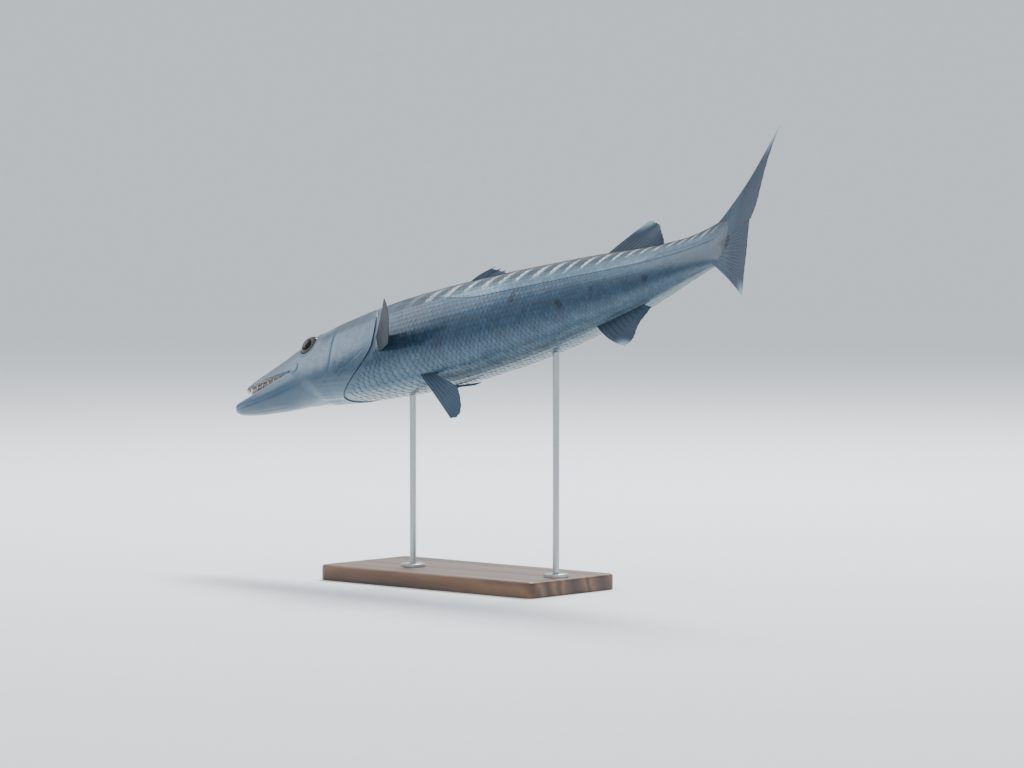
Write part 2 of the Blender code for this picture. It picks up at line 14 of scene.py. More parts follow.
import bpy
import numpy as np
from mathutils import Matrix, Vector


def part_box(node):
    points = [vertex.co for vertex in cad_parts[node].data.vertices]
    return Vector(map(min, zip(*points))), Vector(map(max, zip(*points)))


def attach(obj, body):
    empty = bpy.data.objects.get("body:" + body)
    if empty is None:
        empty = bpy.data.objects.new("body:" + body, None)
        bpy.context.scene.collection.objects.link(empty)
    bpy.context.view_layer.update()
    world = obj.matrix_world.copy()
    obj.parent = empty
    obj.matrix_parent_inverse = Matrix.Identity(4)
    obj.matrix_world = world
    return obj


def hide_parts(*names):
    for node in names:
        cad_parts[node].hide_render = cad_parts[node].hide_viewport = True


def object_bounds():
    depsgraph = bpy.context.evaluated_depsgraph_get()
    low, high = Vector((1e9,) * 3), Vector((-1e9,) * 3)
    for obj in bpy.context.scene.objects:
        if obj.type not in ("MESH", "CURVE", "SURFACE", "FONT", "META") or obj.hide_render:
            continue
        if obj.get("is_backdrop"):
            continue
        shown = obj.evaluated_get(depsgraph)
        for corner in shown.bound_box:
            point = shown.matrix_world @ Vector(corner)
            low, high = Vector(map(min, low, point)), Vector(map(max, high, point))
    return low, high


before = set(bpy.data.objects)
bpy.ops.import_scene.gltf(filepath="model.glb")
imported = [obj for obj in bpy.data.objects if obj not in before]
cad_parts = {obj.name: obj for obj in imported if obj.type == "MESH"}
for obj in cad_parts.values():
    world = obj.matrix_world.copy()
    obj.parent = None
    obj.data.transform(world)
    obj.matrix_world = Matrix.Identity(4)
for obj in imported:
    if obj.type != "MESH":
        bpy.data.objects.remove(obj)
SOLID_BOX = [list(corner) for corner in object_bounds()]
print("solids:", len(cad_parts), "box:", np.round(SOLID_BOX, 3).tolist())

# %% [markdown]
# ## Where things are on a fish
#
# A place on the fish is easiest to give as three numbers in hundredths of its standard length, here
# centimetres: the station along the spine from the snout's tip, the height over the spine, and the
# distance to the fish's left. One function turns these into the room's metres. It bends the spine as
# the tail sweeps, banks the fish and tips its nose down. Every shape below is drawn on a straight
# fish and bent by this function, which is far simpler than modelling a bent one.

# %% Spine, bank and tilt
CM = 0.01
MM = 0.1  # a millimetre, in centimetres
MIDDLE_STATION = 50.0
MIDDLE_PLACE = np.array([0.045, 0.0, 0.40])
NOSE_DOWN, BANK = math.radians(14.8), math.radians(30.0)
SWAY, CURL, WHIP = 0.127, 0.241, 0.038
ARCH = -0.045
STRAIGHT_FROM, SPINE_END = 107.5, 126.0
SPINE_STEPS = 525


def heading(station):
    """The spine's angles to the left and upwards: a cubic and a line in the distance from its middle."""
    t = (np.clip(station, 0.0, STRAIGHT_FROM) - MIDDLE_STATION) / MIDDLE_STATION
    return SWAY * t + CURL * (t**2 - 1 / 3) + WHIP * (t**3 - 0.6 * t), ARCH * t


def spine_axes(station):
    """Unit arrows ahead, up and left of the spine, from the sines and cosines of its two angles."""
    turn, rise = heading(station)
    ct, st, cr, sr = np.cos(turn), np.sin(turn), np.cos(rise), np.sin(rise)
    arrows = (ct * cr, -st * cr, sr), (-ct * sr, st * sr, cr), (-st, -ct, 0 * ct)
    return [np.stack(arrow, axis=-1) for arrow in arrows]


def read_line(station, stations, places):
    """The place at a station, read between the known ones on each axis."""
    return np.stack([np.interp(station, stations, places[:, axis]) for axis in range(3)], axis=-1)


def spine_line():
    """Stations and places along the level fish's spine: the running sum of short steps ahead."""
    stations = np.linspace(-5.0, SPINE_END, SPINE_STEPS)
    ahead = spine_axes(stations)[0]
    steps = (ahead[1:] + ahead[:-1]) / 2 * np.diff(stations)[:, None]
    places = np.vstack([np.zeros(3), np.cumsum(steps, axis=0)])
    return stations, places - read_line(MIDDLE_STATION, stations, places)


SPINE = spine_line()
sin_bank, cos_bank = math.sin(BANK), math.cos(BANK)
sin_tilt, cos_tilt = math.sin(NOSE_DOWN), math.cos(NOSE_DOWN)
POSE = (
    np.array([[cos_tilt, 0, -sin_tilt], [0, 1, 0], [sin_tilt, 0, cos_tilt]])
    @ np.array([[1, 0, 0], [0, cos_bank, sin_bank], [0, -sin_bank, cos_bank]])
)


def on_fish(station, up, left):
    """Metres in the room: the spine's place plus up and left along its arrows, then tilted and banked."""
    station, up, left = np.broadcast_arrays(*(np.asarray(v, float) for v in (station, up, left)))
    _, upward, leftward = spine_axes(station)
    local = read_line(station, *SPINE) + up[..., None] * upward + left[..., None] * leftward
    return MIDDLE_PLACE + CM * local @ POSE.T


print("snout:", on_fish(0, 0, 0).round(3), "tail root:", on_fish(100, 0, 0).round(3))

# %% [markdown]
# ## The fish's outline
#
# A barracuda is a slim rod of muscle, deepest before its middle. A short table holds its back, belly,
# side line and half width at a few stations, as a fish artist would measure them off a specimen, and
# a smooth curve runs through each column. The side line is where the body is widest, and on the head
# it is the edge of the upper lip. The last two columns say how square the back and belly halves of the
# section are: 2 is an ellipse, and more is boxier, as on the flat head.

# %% Outline tables
BODY = np.array([
    # station, back, belly, side line, half width, back squareness, belly squareness
    (0.0, 0.75, -0.95, 0.00, 1.20, 2.1, 2.0),
    (3.0, 1.50, -2.10, -0.20, 1.95, 2.2, 2.0),
    (6.5, 2.35, -3.35, -0.50, 2.50, 2.3, 2.0),
    (10.0, 3.20, -4.60, -0.90, 3.05, 2.5, 2.1),
    (13.0, 3.95, -5.70, -1.25, 3.60, 2.7, 2.1),
    (17.0, 5.00, -6.30, -1.10, 4.20, 2.8, 2.2),
    (21.0, 5.70, -6.85, -0.80, 4.75, 2.7, 2.3),
    (25.0, 6.30, -7.35, -0.60, 5.20, 2.5, 2.3),
    (30.0, 6.90, -7.90, -0.40, 5.70, 2.35, 2.2),
    (36.0, 7.30, -8.35, -0.30, 6.20, 2.25, 2.1),
    (45.0, 7.50, -8.55, -0.30, 6.50, 2.2, 2.05),
    (55.0, 7.30, -7.95, -0.20, 6.35, 2.2, 2.05),
    (65.0, 6.95, -6.90, -0.10, 5.60, 2.2, 2.05),
    (72.0, 6.45, -6.00, 0.00, 4.85, 2.2, 2.05),
    (80.0, 5.50, -5.05, 0.00, 3.80, 2.2, 2.1),
    (87.0, 4.45, -4.15, 0.00, 2.80, 2.2, 2.1),
    (93.0, 3.80, -3.65, 0.00, 1.95, 2.2, 2.1),
    (97.0, 3.70, -3.65, 0.00, 1.40, 2.2, 2.2),
    (100.5, 3.90, -3.95, 0.00, 0.85, 2.2, 2.2),
    (103.5, 4.30, -4.30, 0.00, 0.12, 2.2, 2.2),
])
JAW = np.array([
    # station, rim, keel, half width
    (-2.4, -2.00, -2.95, 0.95),
    (0.0, -2.05, -3.75, 1.45),
    (3.0, -2.00, -4.50, 1.95),
    (6.5, -1.80, -5.10, 2.45),
    (10.0, -1.50, -5.55, 2.95),
    (13.0, -1.15, -5.72, 3.45),
    (16.0, -0.90, -6.10, 3.88),
    (19.5, -0.80, -6.45, 4.10),
])
MOUTH_CORNER = 13.0
GILL_EDGE = 30.6
TAIL_ROOT, TAIL_END = 100.5, 103.3


def smooth_through(x, knots, values):
    """Cubic Hermite curve through the knots whose slopes never overshoot them."""
    x = np.asarray(x, float)
    step = np.diff(knots)
    rise = np.diff(values) / step
    slope = np.empty_like(values)
    slope[0], slope[-1] = rise[0], rise[-1]
    same_way = rise[:-1] * rise[1:] > 0
    total = np.where(same_way, rise[:-1] + rise[1:], 1.0)
    slope[1:-1] = np.where(same_way, 2 * rise[:-1] * rise[1:] / total, 0.0)
    i = np.clip(np.searchsorted(knots, x) - 1, 0, len(step) - 1)
    t = np.clip((x - knots[i]) / step[i], 0.0, 1.0)
    h = step[i]
    return (
        values[i] * (1 + 2 * t) * (1 - t) ** 2
        + slope[i] * h * t * (1 - t) ** 2
        + values[i + 1] * t * t * (3 - 2 * t)
        + slope[i + 1] * h * t * t * (t - 1)
    )


def body(station):
    """Back, belly, side line, half width and the two squarenesses at a station."""
    return [smooth_through(station, BODY[:, 0], BODY[:, column]) for column in range(1, 7)]


def jaw(station):
    """The lower jaw's rim, keel and half width at a station."""
    return [smooth_through(station, JAW[:, 0], JAW[:, column]) for column in range(1, 4)]


def ease(low, high, x):
    """Smooth step: 0 up to low, 1 from high on, and an S between."""
    t = np.clip((np.asarray(x, float) - low) / (high - low), 0, 1)
    return t * t * (3 - 2 * t)


def hump(x, width):
    """A bell of height 1 about x = 0."""
    return np.exp(-((x / width) ** 2))


print("deepest:", round(float(max(body(s)[0] - body(s)[1] for s in range(20, 80))), 1), "cm")

# %% [markdown]
# ## Walking round the body
#
# Scales have to be spaced evenly round the body, so the girth is measured by walking along the skin.
# The girth number is 0 on the back, 0.5 on the left side line and 1 under the belly, and negative on
# the right. A table of evenly walked sections is worked out once, and every later piece reads it.

# %% Evenly walked sections
WALK_STATIONS = np.linspace(0.0, TAIL_END, 1034)
WALK_STEPS = 65


def walked_halves():
    """Arc length round each half section by adding up short chords, then read back at even shares of it."""
    back, belly, side, width, back_power, belly_power = (v[:, None] for v in body(WALK_STATIONS))
    angle = np.linspace(0, math.pi / 2, 500)[None, :]
    rows = np.arange(len(WALK_STATIONS))[:, None]
    halves = []
    for end, power, turn in ((back, back_power, angle), (belly, belly_power, math.pi / 2 - angle)):
        up = side + (end - side) * np.cos(turn) ** (2 / power)
        left = width * np.sin(turn) ** (2 / power)
        chord = np.hypot(np.diff(up, axis=1), np.diff(left, axis=1))
        walked = np.concatenate([np.zeros((len(rows), 1)), np.cumsum(chord, axis=1)], axis=1)
        walked /= walked[:, -1:]
        wanted = (np.linspace(0, 1, WALK_STEPS)[None, :] + 2 * rows).ravel()
        known = (walked + 2 * rows).ravel()
        halves.append([np.interp(wanted, known, v.ravel()).reshape(-1, WALK_STEPS) for v in (up, left)])
    (up_a, left_a), (up_b, left_b) = halves
    return np.hstack([up_a, up_b[:, 1:]]), np.hstack([left_a, left_b[:, 1:]])

WALK_UP, WALK_LEFT = walked_halves()
HALF_GIRTH = np.hypot(np.diff(WALK_UP, axis=1), np.diff(WALK_LEFT, axis=1)).sum(axis=1)


def half_girth(station):
    """Centimetres from the back to the belly, walked along the skin."""
    return np.interp(station, WALK_STATIONS, HALF_GIRTH)


def walk_row(station):
    """Which walked section a station falls on, with its fraction."""
    return np.clip(station / TAIL_END, 0, 1) * (len(WALK_STATIONS) - 1)


def read_table(table, station, girth):
    """Bilinear reading of a table by station and by the size of the girth number."""
    row, column = walk_row(station), np.clip(np.abs(girth), 0, 1) * (table.shape[1] - 1)
    i = np.clip(row.astype(int), 0, table.shape[0] - 2)
    j = np.clip(column.astype(int), 0, table.shape[1] - 2)
    a, b = row - i, column - j
    near, far = (table[k, j] * (1 - b) + table[k, j + 1] * b for k in (i, i + 1))
    return near * (1 - a) + far * a


def outline(station, girth):
    """Up and left of the bare outline, and its outward direction as up and left parts."""
    station, girth = np.broadcast_arrays(np.asarray(station, float), np.asarray(girth, float))
    side = np.where(girth < 0, -1.0, 1.0)
    tables, step = (WALK_UP, WALK_LEFT), 0.006
    low, high = np.clip(np.abs(girth) - step, 0, 1), np.clip(np.abs(girth) + step, 0, 1)
    along_up, along_left = (read_table(t, station, high) - read_table(t, station, low) for t in tables)
    length = np.hypot(along_up, along_left) + 1e-9
    up, left = (read_table(t, station, girth) for t in tables)
    return up, left * side, along_left / length, -along_up / length * side


print("girth at the shoulder:", round(2 * float(half_girth(40)), 1), "cm")

# %% [markdown]
# ## The head's relief
#
# Under a barracuda's skin lie the plates of its skull. The relief is a height in millimetres added
# to the outline: the socket round the eye, the bony brow, the slat of the upper jaw, the cheek's
# hooked edge, the gill cover's free rim, the nostrils, the ridges on the crown and the folds of the
# throat. Each is a distance to a simple line or circle, run through a step or a bell. Right behind the
# mouth's corner the throat starts a little deeper, so that it rises out of the jaw without a step.

# %% Relief of the skin
EYE_STATION, EYE_UP = 16.2, 2.45
EYE_RADIUS, EYE_DEPTH, EYE_BULGE = 1.85, 1.15, 0.60
GILL_SWEEP, GILL_SWEEP_MEAN, GILL_BLEND = 2.6, 0.45, 8.0
THROAT_SWEEP, THROAT_BLEND = 6.5, 14.5
COAT_DEPTH = 0.7
CORNER_SLANT = 4.2
CROWN_RIDGES = ((0.8, 1.0, 0.28), (0.5, 2.0, 0.25), (-0.5, 0.0, 0.35))  # height, place across, width
FIN_BASES = ((43.4, 54.0, 1), (71.8, 83.5, 1), (73.6, 84.5, -1))


def gill_shift(ring, girth):
    """How far tailwards a ring moves at each girth, so that one ring is the gill cover's edge: a flap that
    bulges back at mid side, by a sine squared, and whose lower end sweeps forward under the throat."""
    size = np.clip(np.abs(girth), 0, 1)
    near, wide = (ease(0, 1, 1 - np.abs(ring - GILL_EDGE) / blend) for blend in (GILL_BLEND, THROAT_BLEND))
    flap = GILL_SWEEP * near * (np.sin(math.pi * size) ** 2 - GILL_SWEEP_MEAN)
    return flap - THROAT_SWEEP * wide * ease(0.58, 1.0, size)


def ring_of(station, girth):
    """The ring that passes through a station at a girth: the shift undone by a few repeats."""
    ring = station
    for _ in range(12):
        ring = 0.4 * ring + 0.6 * (station - gill_shift(ring, girth))
    return ring


def capsule(station, up, start, end):
    """Distance to a line between two points that each have their own radius: negative inside."""
    (s0, u0, r0), (s1, u1, r1) = start, end
    ds, du = s1 - s0, u1 - u0
    t = np.clip(((station - s0) * ds + (up - u0) * du) / (ds * ds + du * du), 0, 1)
    return np.hypot(station - s0 - t * ds, up - u0 - t * du) - (r0 + (r1 - r0) * t)


def relief(station, up, left, ring_station, girth):
    """Millimetres of relief over the outline: each feature's steps and bells of a distance, added up."""
    size = np.abs(girth)
    on_head = 1 - ease(28.5, 31.5, ring_station)
    height = -COAT_DEPTH * ease(GILL_EDGE, GILL_EDGE + 0.8, ring_station) * np.ones_like(station)

    eye = np.hypot(station - EYE_STATION, up - EYE_UP) - EYE_RADIUS
    socket = -9.0 * (1 - ease(-0.42, -0.18, eye))
    rim = 1.0 * hump(eye + 0.04, 0.20) + 0.6 * hump(eye - 0.6, 0.6)
    brow = 1.5 * hump(eye - 0.45, 0.5) * ease(0.0, 1.8, up - EYE_UP)
    height += ease(1.6, 2.6, np.abs(left)) * (socket + rim + brow)

    slat = capsule(station, up, (6.0, -0.25, 0.18), (13.9, -1.05, 0.85))
    height += on_head * (1.2 * (1 - ease(-0.16, 0.05, slat)) - 0.5 * hump(slat - 0.14, 0.12))

    hook = np.hypot(np.maximum(station - 19.4, 0), np.maximum(-up - 2.2, 0)) - 3.2
    hook = np.where((station < 19.4) & (-up < 2.2), -3.0, hook)
    raised = 0.9 * (1 - ease(-0.22, 0.04, hook)) * ease(-2.6, -0.3, hook) - 0.45 * hump(hook - 0.16, 0.14)
    height += ease(3.8, 2.4, up) * ease(13.0, 15.5, station) * on_head * raised

    plate = up + 5.9 - 0.42 * (station - 22.5)
    height += -0.5 * hump(plate, 0.13) * ease(22.8, 23.6, station) * on_head * ease(30.5, 29.5, station)

    behind = ring_station - GILL_EDGE
    lip, drop = 0.4 * np.exp(np.minimum(behind, 0) / 0.5), -1.3 * np.exp(-np.maximum(behind, 0) / 1.6)
    height += ease(0.23, 0.36, size) * np.where(behind > 0, drop, lip)

    for s0, u0, radius in ((12.0, 2.15, 0.16), (12.75, 2.35, 0.21)):
        nostril = np.hypot(station - s0, (up - u0) * 1.2)
        pit = 0.5 * hump(nostril - radius - 0.08, 0.1) - 1.8 * (1 - ease(radius * 0.4, radius, nostril))
        height += pit * ease(0.8, 1.4, np.abs(left))

    crown = ease(2.5, 5, station) * ease(25, 20, station) * ease(0.30, 0.18, size)
    across = np.abs(left) / (0.4 + 0.055 * station)
    height += crown * sum(tall * hump(across - at, wide) for tall, at, wide in CROWN_RIDGES)

    throat = ease(0.72, 0.80, size) * ease(17.5, 19.5, station) * on_head
    for fold in range(5):
        height += -0.55 * throat * hump(size - 0.78 - 0.045 * fold - 0.006 * (station - 24), 0.008)
    height += -1.5 * hump(size - 1.0, 0.02) * throat
    height += -1.9 * ease(0.50, 0.62, size) * ease(MOUTH_CORNER + 4.0, MOUTH_CORNER, ring_station)

    for start, end, way in FIN_BASES:
        near = ease(start - 1.2, start + 0.4, station) * ease(end + 1.5, end - 0.5, station)
        height += 1.1 * near * hump(size if way > 0 else 1 - size, 0.022)

    cheek = 0.12 * np.sin(2.1 * station + 1.3 * up) * np.sin(1.7 * up - 0.9 * station + 1)
    return height + on_head * cheek


def skin_place(station, girth, lift, ring_station=None):
    """Metres in the room for a point that stands lift millimetres over the skin."""
    ring_station = ring_of(station, girth) if ring_station is None else ring_station
    up, left, normal_up, normal_left = outline(station, girth)
    height = MM * (relief(station, up, left, ring_station, girth) + lift)
    return on_fish(station, up + normal_up * height, left + normal_left * height)


print("gill edge at mid side:", round(float(GILL_EDGE + gill_shift(GILL_EDGE, 0.5)), 1), "cm from the snout")

# %% [markdown]
# ## Meshes from grids
#
# Most pieces here are grids: rows and columns of points that a formula fills at once. Two helpers
# turn them into closed meshes. A tube's rows are rings, closed at both ends with a fan. A plate is
# two sheets, front and back, joined by a rim.

# %% Mesh helpers
COLLECTION = bpy.data.collections.new("barracuda_model")
bpy.context.scene.collection.children.link(COLLECTION)


def make_mesh(name, points, faces):
    """An object from an array of points and a list of face arrays, shaded smooth."""
    mesh = bpy.data.meshes.new(name)
    mesh.from_pydata(points.reshape(-1, 3).tolist(), [], [face for group in faces for face in group.tolist()])
    mesh.validate()
    mesh.shade_smooth()
    obj = bpy.data.objects.new(name, mesh)
    COLLECTION.objects.link(obj)
    return obj


def grid_faces(numbers):
    """Quads between neighbouring rows and columns of an array of point numbers."""
    corners = [numbers[:-1, :-1], numbers[:-1, 1:], numbers[1:, 1:], numbers[1:, :-1]]
    return np.stack(corners, axis=-1).reshape(-1, 4)


def tube_faces(rows, columns):
    """Quads between closed rings, then a fan at each end round one more point, numbered after the rings."""
    numbers = np.arange(rows * columns).reshape(rows, columns)
    wrapped = np.concatenate([numbers, numbers[:, :1]], axis=1)
    first, last = (np.full(columns, rows * columns + end) for end in (0, 1))
    fans = (wrapped[0, 1:], wrapped[0, :-1], first), (wrapped[-1, :-1], wrapped[-1, 1:], last)
    return [grid_faces(wrapped), *(np.stack(fan, axis=-1) for fan in fans)]


def make_tube(name, rings):
    """A closed tube through rings, an array of rows x columns x 3, with a fan at each end."""
    points = np.vstack([rings.reshape(-1, 3), rings[0].mean(axis=0), rings[-1].mean(axis=0)])
    return make_mesh(name, points, tube_faces(*rings.shape[:2]))


def loop_round(numbers):
    """The point numbers round the edge of a grid, back to the first."""
    return np.concatenate([numbers[0, :], numbers[1:, -1], numbers[-1, -2::-1], numbers[-2::-1, 0]])


def make_plate(name, sheet, half_thickness):
    """A closed plate about a middle sheet: each face stands half the thickness out along its normal."""
    normal = np.cross(np.gradient(sheet, axis=1), np.gradient(sheet, axis=0))
    normal /= np.linalg.norm(normal, axis=2, keepdims=True) + 1e-12
    offset = normal * half_thickness[..., None]
    count = sheet[..., 0].size
    front = np.arange(count).reshape(sheet.shape[:2])
    edge = loop_round(front)
    rim = np.stack([edge[:-1], edge[1:], edge[1:] + count, edge[:-1] + count], axis=-1)
    points = np.vstack([(sheet + offset).reshape(-1, 3), (sheet - offset).reshape(-1, 3)])
    return make_mesh(name, points, [grid_faces(front)[:, ::-1], grid_faces(front + count), rim])


def store(obj, name, values):
    """Saves a number for each point of a mesh, for its material to read."""
    attribute = obj.data.attributes.new(name, "FLOAT", "POINT")
    attribute.data.foreach_set("value", np.asarray(values, np.float32).ravel())


def fetch(items, key, columns, kind=np.float32):
    """One property of all of a mesh's points, triangles or corners, as an array with that many columns."""
    values = np.empty(len(items) * columns, kind)
    items.foreach_get(key, values)
    return values.reshape(-1, columns)


def turn_outwards(obj):
    """Turns a closed mesh the right way out: the sum of its signed corner volumes must be positive."""
    obj.data.calc_loop_triangles()
    points = fetch(obj.data.vertices, "co", 3).astype(float)
    a, b, c = points[fetch(obj.data.loop_triangles, "vertices", 3, np.int32)].transpose(1, 0, 2)
    middle = points.mean(axis=0)
    volume = np.einsum("ij,ij->i", a - middle, np.cross(b - middle, c - middle)).sum() / 6
    if volume < 0:
        obj.data.flip_normals()
    return abs(volume)


def settle(obj, material, slot, *nodes):
    """Gives a piece its material, its body and the solids that it stands for, which it hides. The slot is not
    used.
    """
    turn_outwards(obj)
    obj.data.materials.append(material)
    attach(obj, "root")
    if nodes:
        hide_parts(*nodes)


def circle(count):
    """Angles evenly spaced round a full turn."""
    return np.linspace(0, 2 * math.pi, count, endpoint=False)


print("faces of a tube of 3 rings of 8 points:", sum(len(faces) for faces in tube_faces(3, 8)))

# %% [markdown]
# ## One skin for head, jaws and body
#
# The body is a tube from the snout's tip to the tail. Ahead of the mouth's corner the tube's lower
# half turns inwards as the palate. The lower jaw is a second tube that runs back inside the cheeks,
# and a Boolean union makes both one skin, with the crease that a real jaw has. The rings lie closer
# together on the head, and closest at the gill cover's edge, where the skin drops a step.

# %% Rings of the body's tube
HALF_RING = 96
PALATE_ARCH = 0.20
LIP_WIDTH = 0.5


def spaced(*stretches):
    """Stations laid end to end: each stretch is (start, end, spacing)."""
    runs = [np.linspace(a, b, max(2, int(round((b - a) / gap)) + 1))[:-1] for a, b, gap in stretches]
    return np.concatenate(runs + [[stretches[-1][1]]])


def tip_rounding(station, tip, radius):
    """Share of the full section near a blunt tip: a quarter circle over the first radius."""
    depth = np.clip((station - tip) / radius, 0.0, 1.0)
    return np.sqrt(1 - (1 - depth) ** 2)


HEAD_RINGS = np.concatenate([
    1.1 * (1 - np.cos(np.linspace(0.08, math.pi / 2, 14)))[:-1],
    spaced((1.1, 12.9, 0.13)),
])
BODY_RINGS = spaced(
    (13.0, 20.0, 0.11), (20.0, 30.2, 0.15), (30.2, 30.55, 0.07), (30.55, 30.66, 0.018),
    (30.66, 32.0, 0.10), (32.0, 40.0, 0.25), (40.0, 96.0, 0.50), (96.0, TAIL_END, 0.25),
)


def gather_round_eye(station, girth):
    """Draws grid points towards the eye socket's edge by a bell of their distance, for a crisp round rim."""
    up, size = read_table(WALK_UP, station, girth), np.abs(girth)
    away_station, away_up = station - EYE_STATION, up - EYE_UP
    distance = np.hypot(away_station, away_up) + 1e-6
    gap = distance - EYE_RADIUS + 0.28
    pull = -0.45 * gap * hump(gap, 0.5) * ease(0.12, 0.2, size) * ease(0.55, 0.45, size)
    slope = (read_table(WALK_UP, station, size + 0.01) - read_table(WALK_UP, station, size - 0.01)) / 0.02
    steep = np.abs(slope) > 1
    change = np.where(steep, pull * away_up / distance / np.where(steep, slope, 1), 0)
    return station + pull * away_station / distance, girth + np.sign(girth) * np.clip(change, -0.02, 0.02)


def body_rings():
    """Rings behind the mouth's corner. Those near it slant, so that the jaw's crease runs down and back."""
    girth = np.concatenate([np.linspace(a, a + 1, HALF_RING, endpoint=False) for a in (-0.5, 0.5)])
    ring, around = np.meshgrid(BODY_RINGS, np.where(girth > 1, girth - 2, girth), indexing="ij")
    slant = CORNER_SLANT * ease(0.5, 0.95, np.abs(around)) * ease(22.0, MOUTH_CORNER, ring)
    station, around = gather_round_eye(ring + slant + gill_shift(ring, around), around)
    return skin_place(np.clip(station, 0, TAIL_END), around, 0.0, ring)


def shrunk_to_tip(rings, tip, radius, middle, up, left):
    """Rings in the room whose sections shrink towards their middles near a blunt tip."""
    share = tip_rounding(rings, tip, radius)[:, None]
    return on_fish(rings[:, None], middle + (up - middle) * share, left * share)


def upper_jaw_rings():
    """Rings ahead of the mouth's corner: the outer arch, a rounded lip, and the palate inside it."""
    ring, around = np.meshgrid(HEAD_RINGS, np.linspace(-0.5, 0.5, HALF_RING, endpoint=False), indexing="ij")
    up, left, normal_up, normal_left = outline(ring, around)
    height = MM * relief(ring, up, left, ring, around)
    back, _, side, width, _, _ = body(HEAD_RINGS[:, None])
    inner = np.linspace(0, math.pi, HALF_RING, endpoint=False)[None, :]
    lip = np.minimum(LIP_WIDTH, 0.3 * width) / width
    across = width * np.cos(inner) * (1 - lip * np.sin(inner) ** 0.5)
    arch = PALATE_ARCH * (back - side) * np.sin(inner) ** 0.9
    roof = side + arch - 0.25 * np.sin(inner * 2) ** 2 * np.minimum(1, ring / 3)
    all_up = np.concatenate([up + normal_up * height, roof], axis=1)
    all_left = np.concatenate([left + normal_left * height, across], axis=1)
    return shrunk_to_tip(HEAD_RINGS, 0.0, 1.1, side + 0.45 * (back - side), all_up, all_left)


body_tube = make_tube("skin", np.concatenate([upper_jaw_rings(), body_rings()]))
litres = turn_outwards(body_tube) * 1000
print("body tube:", len(body_tube.data.polygons), "faces, volume", round(litres, 2), "litres")

# %% The lower jaw's tube
JAW_TIP, JAW_TIP_RADIUS = -2.4, 1.3
JAW_RINGS = np.concatenate([
    JAW_TIP + JAW_TIP_RADIUS * (1 - np.cos(np.linspace(0.08, math.pi / 2, 12)))[:-1],
    spaced((-1.1, 19.0, 0.16)),
])
JAW_HALF = 64


def jaw_rings():
    """Rings of the lower jaw: a keeled outside, a rounded lip and a shallow trough inside."""
    turn = np.linspace(-math.pi / 2, math.pi / 2, JAW_HALF, endpoint=False)[None, :]
    ring = JAW_RINGS[:, None]
    rim, keel, width = jaw(ring)
    outer_up = rim + (keel - rim) * np.cos(turn) ** 0.93
    outer_left = width * np.sign(np.sin(turn)) * np.abs(np.sin(turn)) ** 0.93
    depth = rim - outer_up
    groove = -0.5 * hump(depth - 0.58 * (rim - keel), 0.10) + 0.5 * hump(depth - 0.25, 0.22)
    chin = -0.6 * hump(np.abs(outer_left) - 0.55, 0.12) * ease(0.5, 2.5, ring) * ease(12, 9, ring)
    swell = MM * (groove + chin) / (np.hypot(outer_left, depth) + 1e-6)
    lip = np.minimum(0.45, 0.3 * width) / width
    inner_left = -width * np.sin(turn) * (1 - lip * np.cos(turn) ** 0.5)
    inner_up = rim + 0.30 * (keel - rim) * np.cos(turn) ** 0.8 + 0.2 * np.sin(2 * turn) ** 2
    up = np.concatenate([inner_up, outer_up - depth * swell], axis=1)
    left = np.concatenate([inner_left, outer_left * (1 + swell)], axis=1)
    return shrunk_to_tip(JAW_RINGS, JAW_TIP, JAW_TIP_RADIUS, (rim + keel) / 2, up, left)


jaw_tube = make_tube("jaw_tube", jaw_rings())
litres = turn_outwards(jaw_tube) * 1000
print("jaw tube:", len(jaw_tube.data.polygons), "faces, volume", round(litres, 2), "litres")

# %% Join them into one skin
SHARP_SKIN = math.radians(50)
skin = body_tube
union = skin.modifiers.new("with jaw", "BOOLEAN")
union.operation, union.object, union.solver = "UNION", jaw_tube, "EXACT"
joined = bpy.data.meshes.new_from_object(skin.evaluated_get(bpy.context.evaluated_depsgraph_get()))
skin.modifiers.clear()
skin.data = joined
joined.name = "skin"
bpy.data.objects.remove(jaw_tube, do_unlink=True)
skin.data.set_sharp_from_angle(angle=SHARP_SKIN)
print("skin:", len(skin.data.polygons), "faces")

# %% [markdown]
# ## The markings
#
# A great barracuda is counter-shaded: dark above and silver below. About twenty dark bars cross its
# back, and the gaps between them show as pale ticks that lean back as they rise. Under the ticks a
# lighter band, a painted highlight as if the back were lit from above, runs down to the lateral line,
# where the flank turns dark with a sharp edge: painted shade, and the lower flank and belly are
# painted darker too. A few inky blotches lie low on the rear flank, and one on the tail's root. One
# function works all of this out from a place on the skin, so the skin and every scale over it carry
# the same markings.

# %% Markings as functions of place
BAR_SLANT = 11.0
LINE_REAR = 0.445  # the lateral line's girth number behind mid body
BLOTCHES = (
    # station, girth, half length in cm, half depth in girth, strength; a negative girth is on the right
    (60.0, 0.53, 0.6, 0.060, 0.55), (69.0, 0.66, 0.8, 0.030, 0.8), (75.2, 0.61, 0.4, 0.035, 0.7),
    (85.5, 0.68, 0.8, 0.050, 0.8), (102.5, 0.58, 0.9, 0.14, 1.0),
    (56.0, -0.62, 0.8, 0.035, 0.8), (64.5, -0.69, 0.9, 0.030, 0.8), (71.0, -0.60, 0.5, 0.040, 0.6),
    (82.0, -0.66, 0.8, 0.050, 0.8), (102.5, -0.58, 0.9, 0.14, 1.0),
)


def line_girth(station):
    """The lateral line's girth number: from the gill cover's upper corner down to the mid side."""
    return 0.22 + (LINE_REAR - 0.22) * ease(31, 55, station)


def bar_count(station):
    """Bars counted from the front: 3.7 cm apart at mid body, and closer towards the tail."""
    away = station - 48
    return 0.876 + 0.270 * away + 0.00135 * away**2


def window(low, rise, high, fall, x):
    """1 between two soft edges, 0 outside: an S up from low to rise, times an S down from high to fall."""
    return ease(low, rise, x) * ease(fall, high, x)


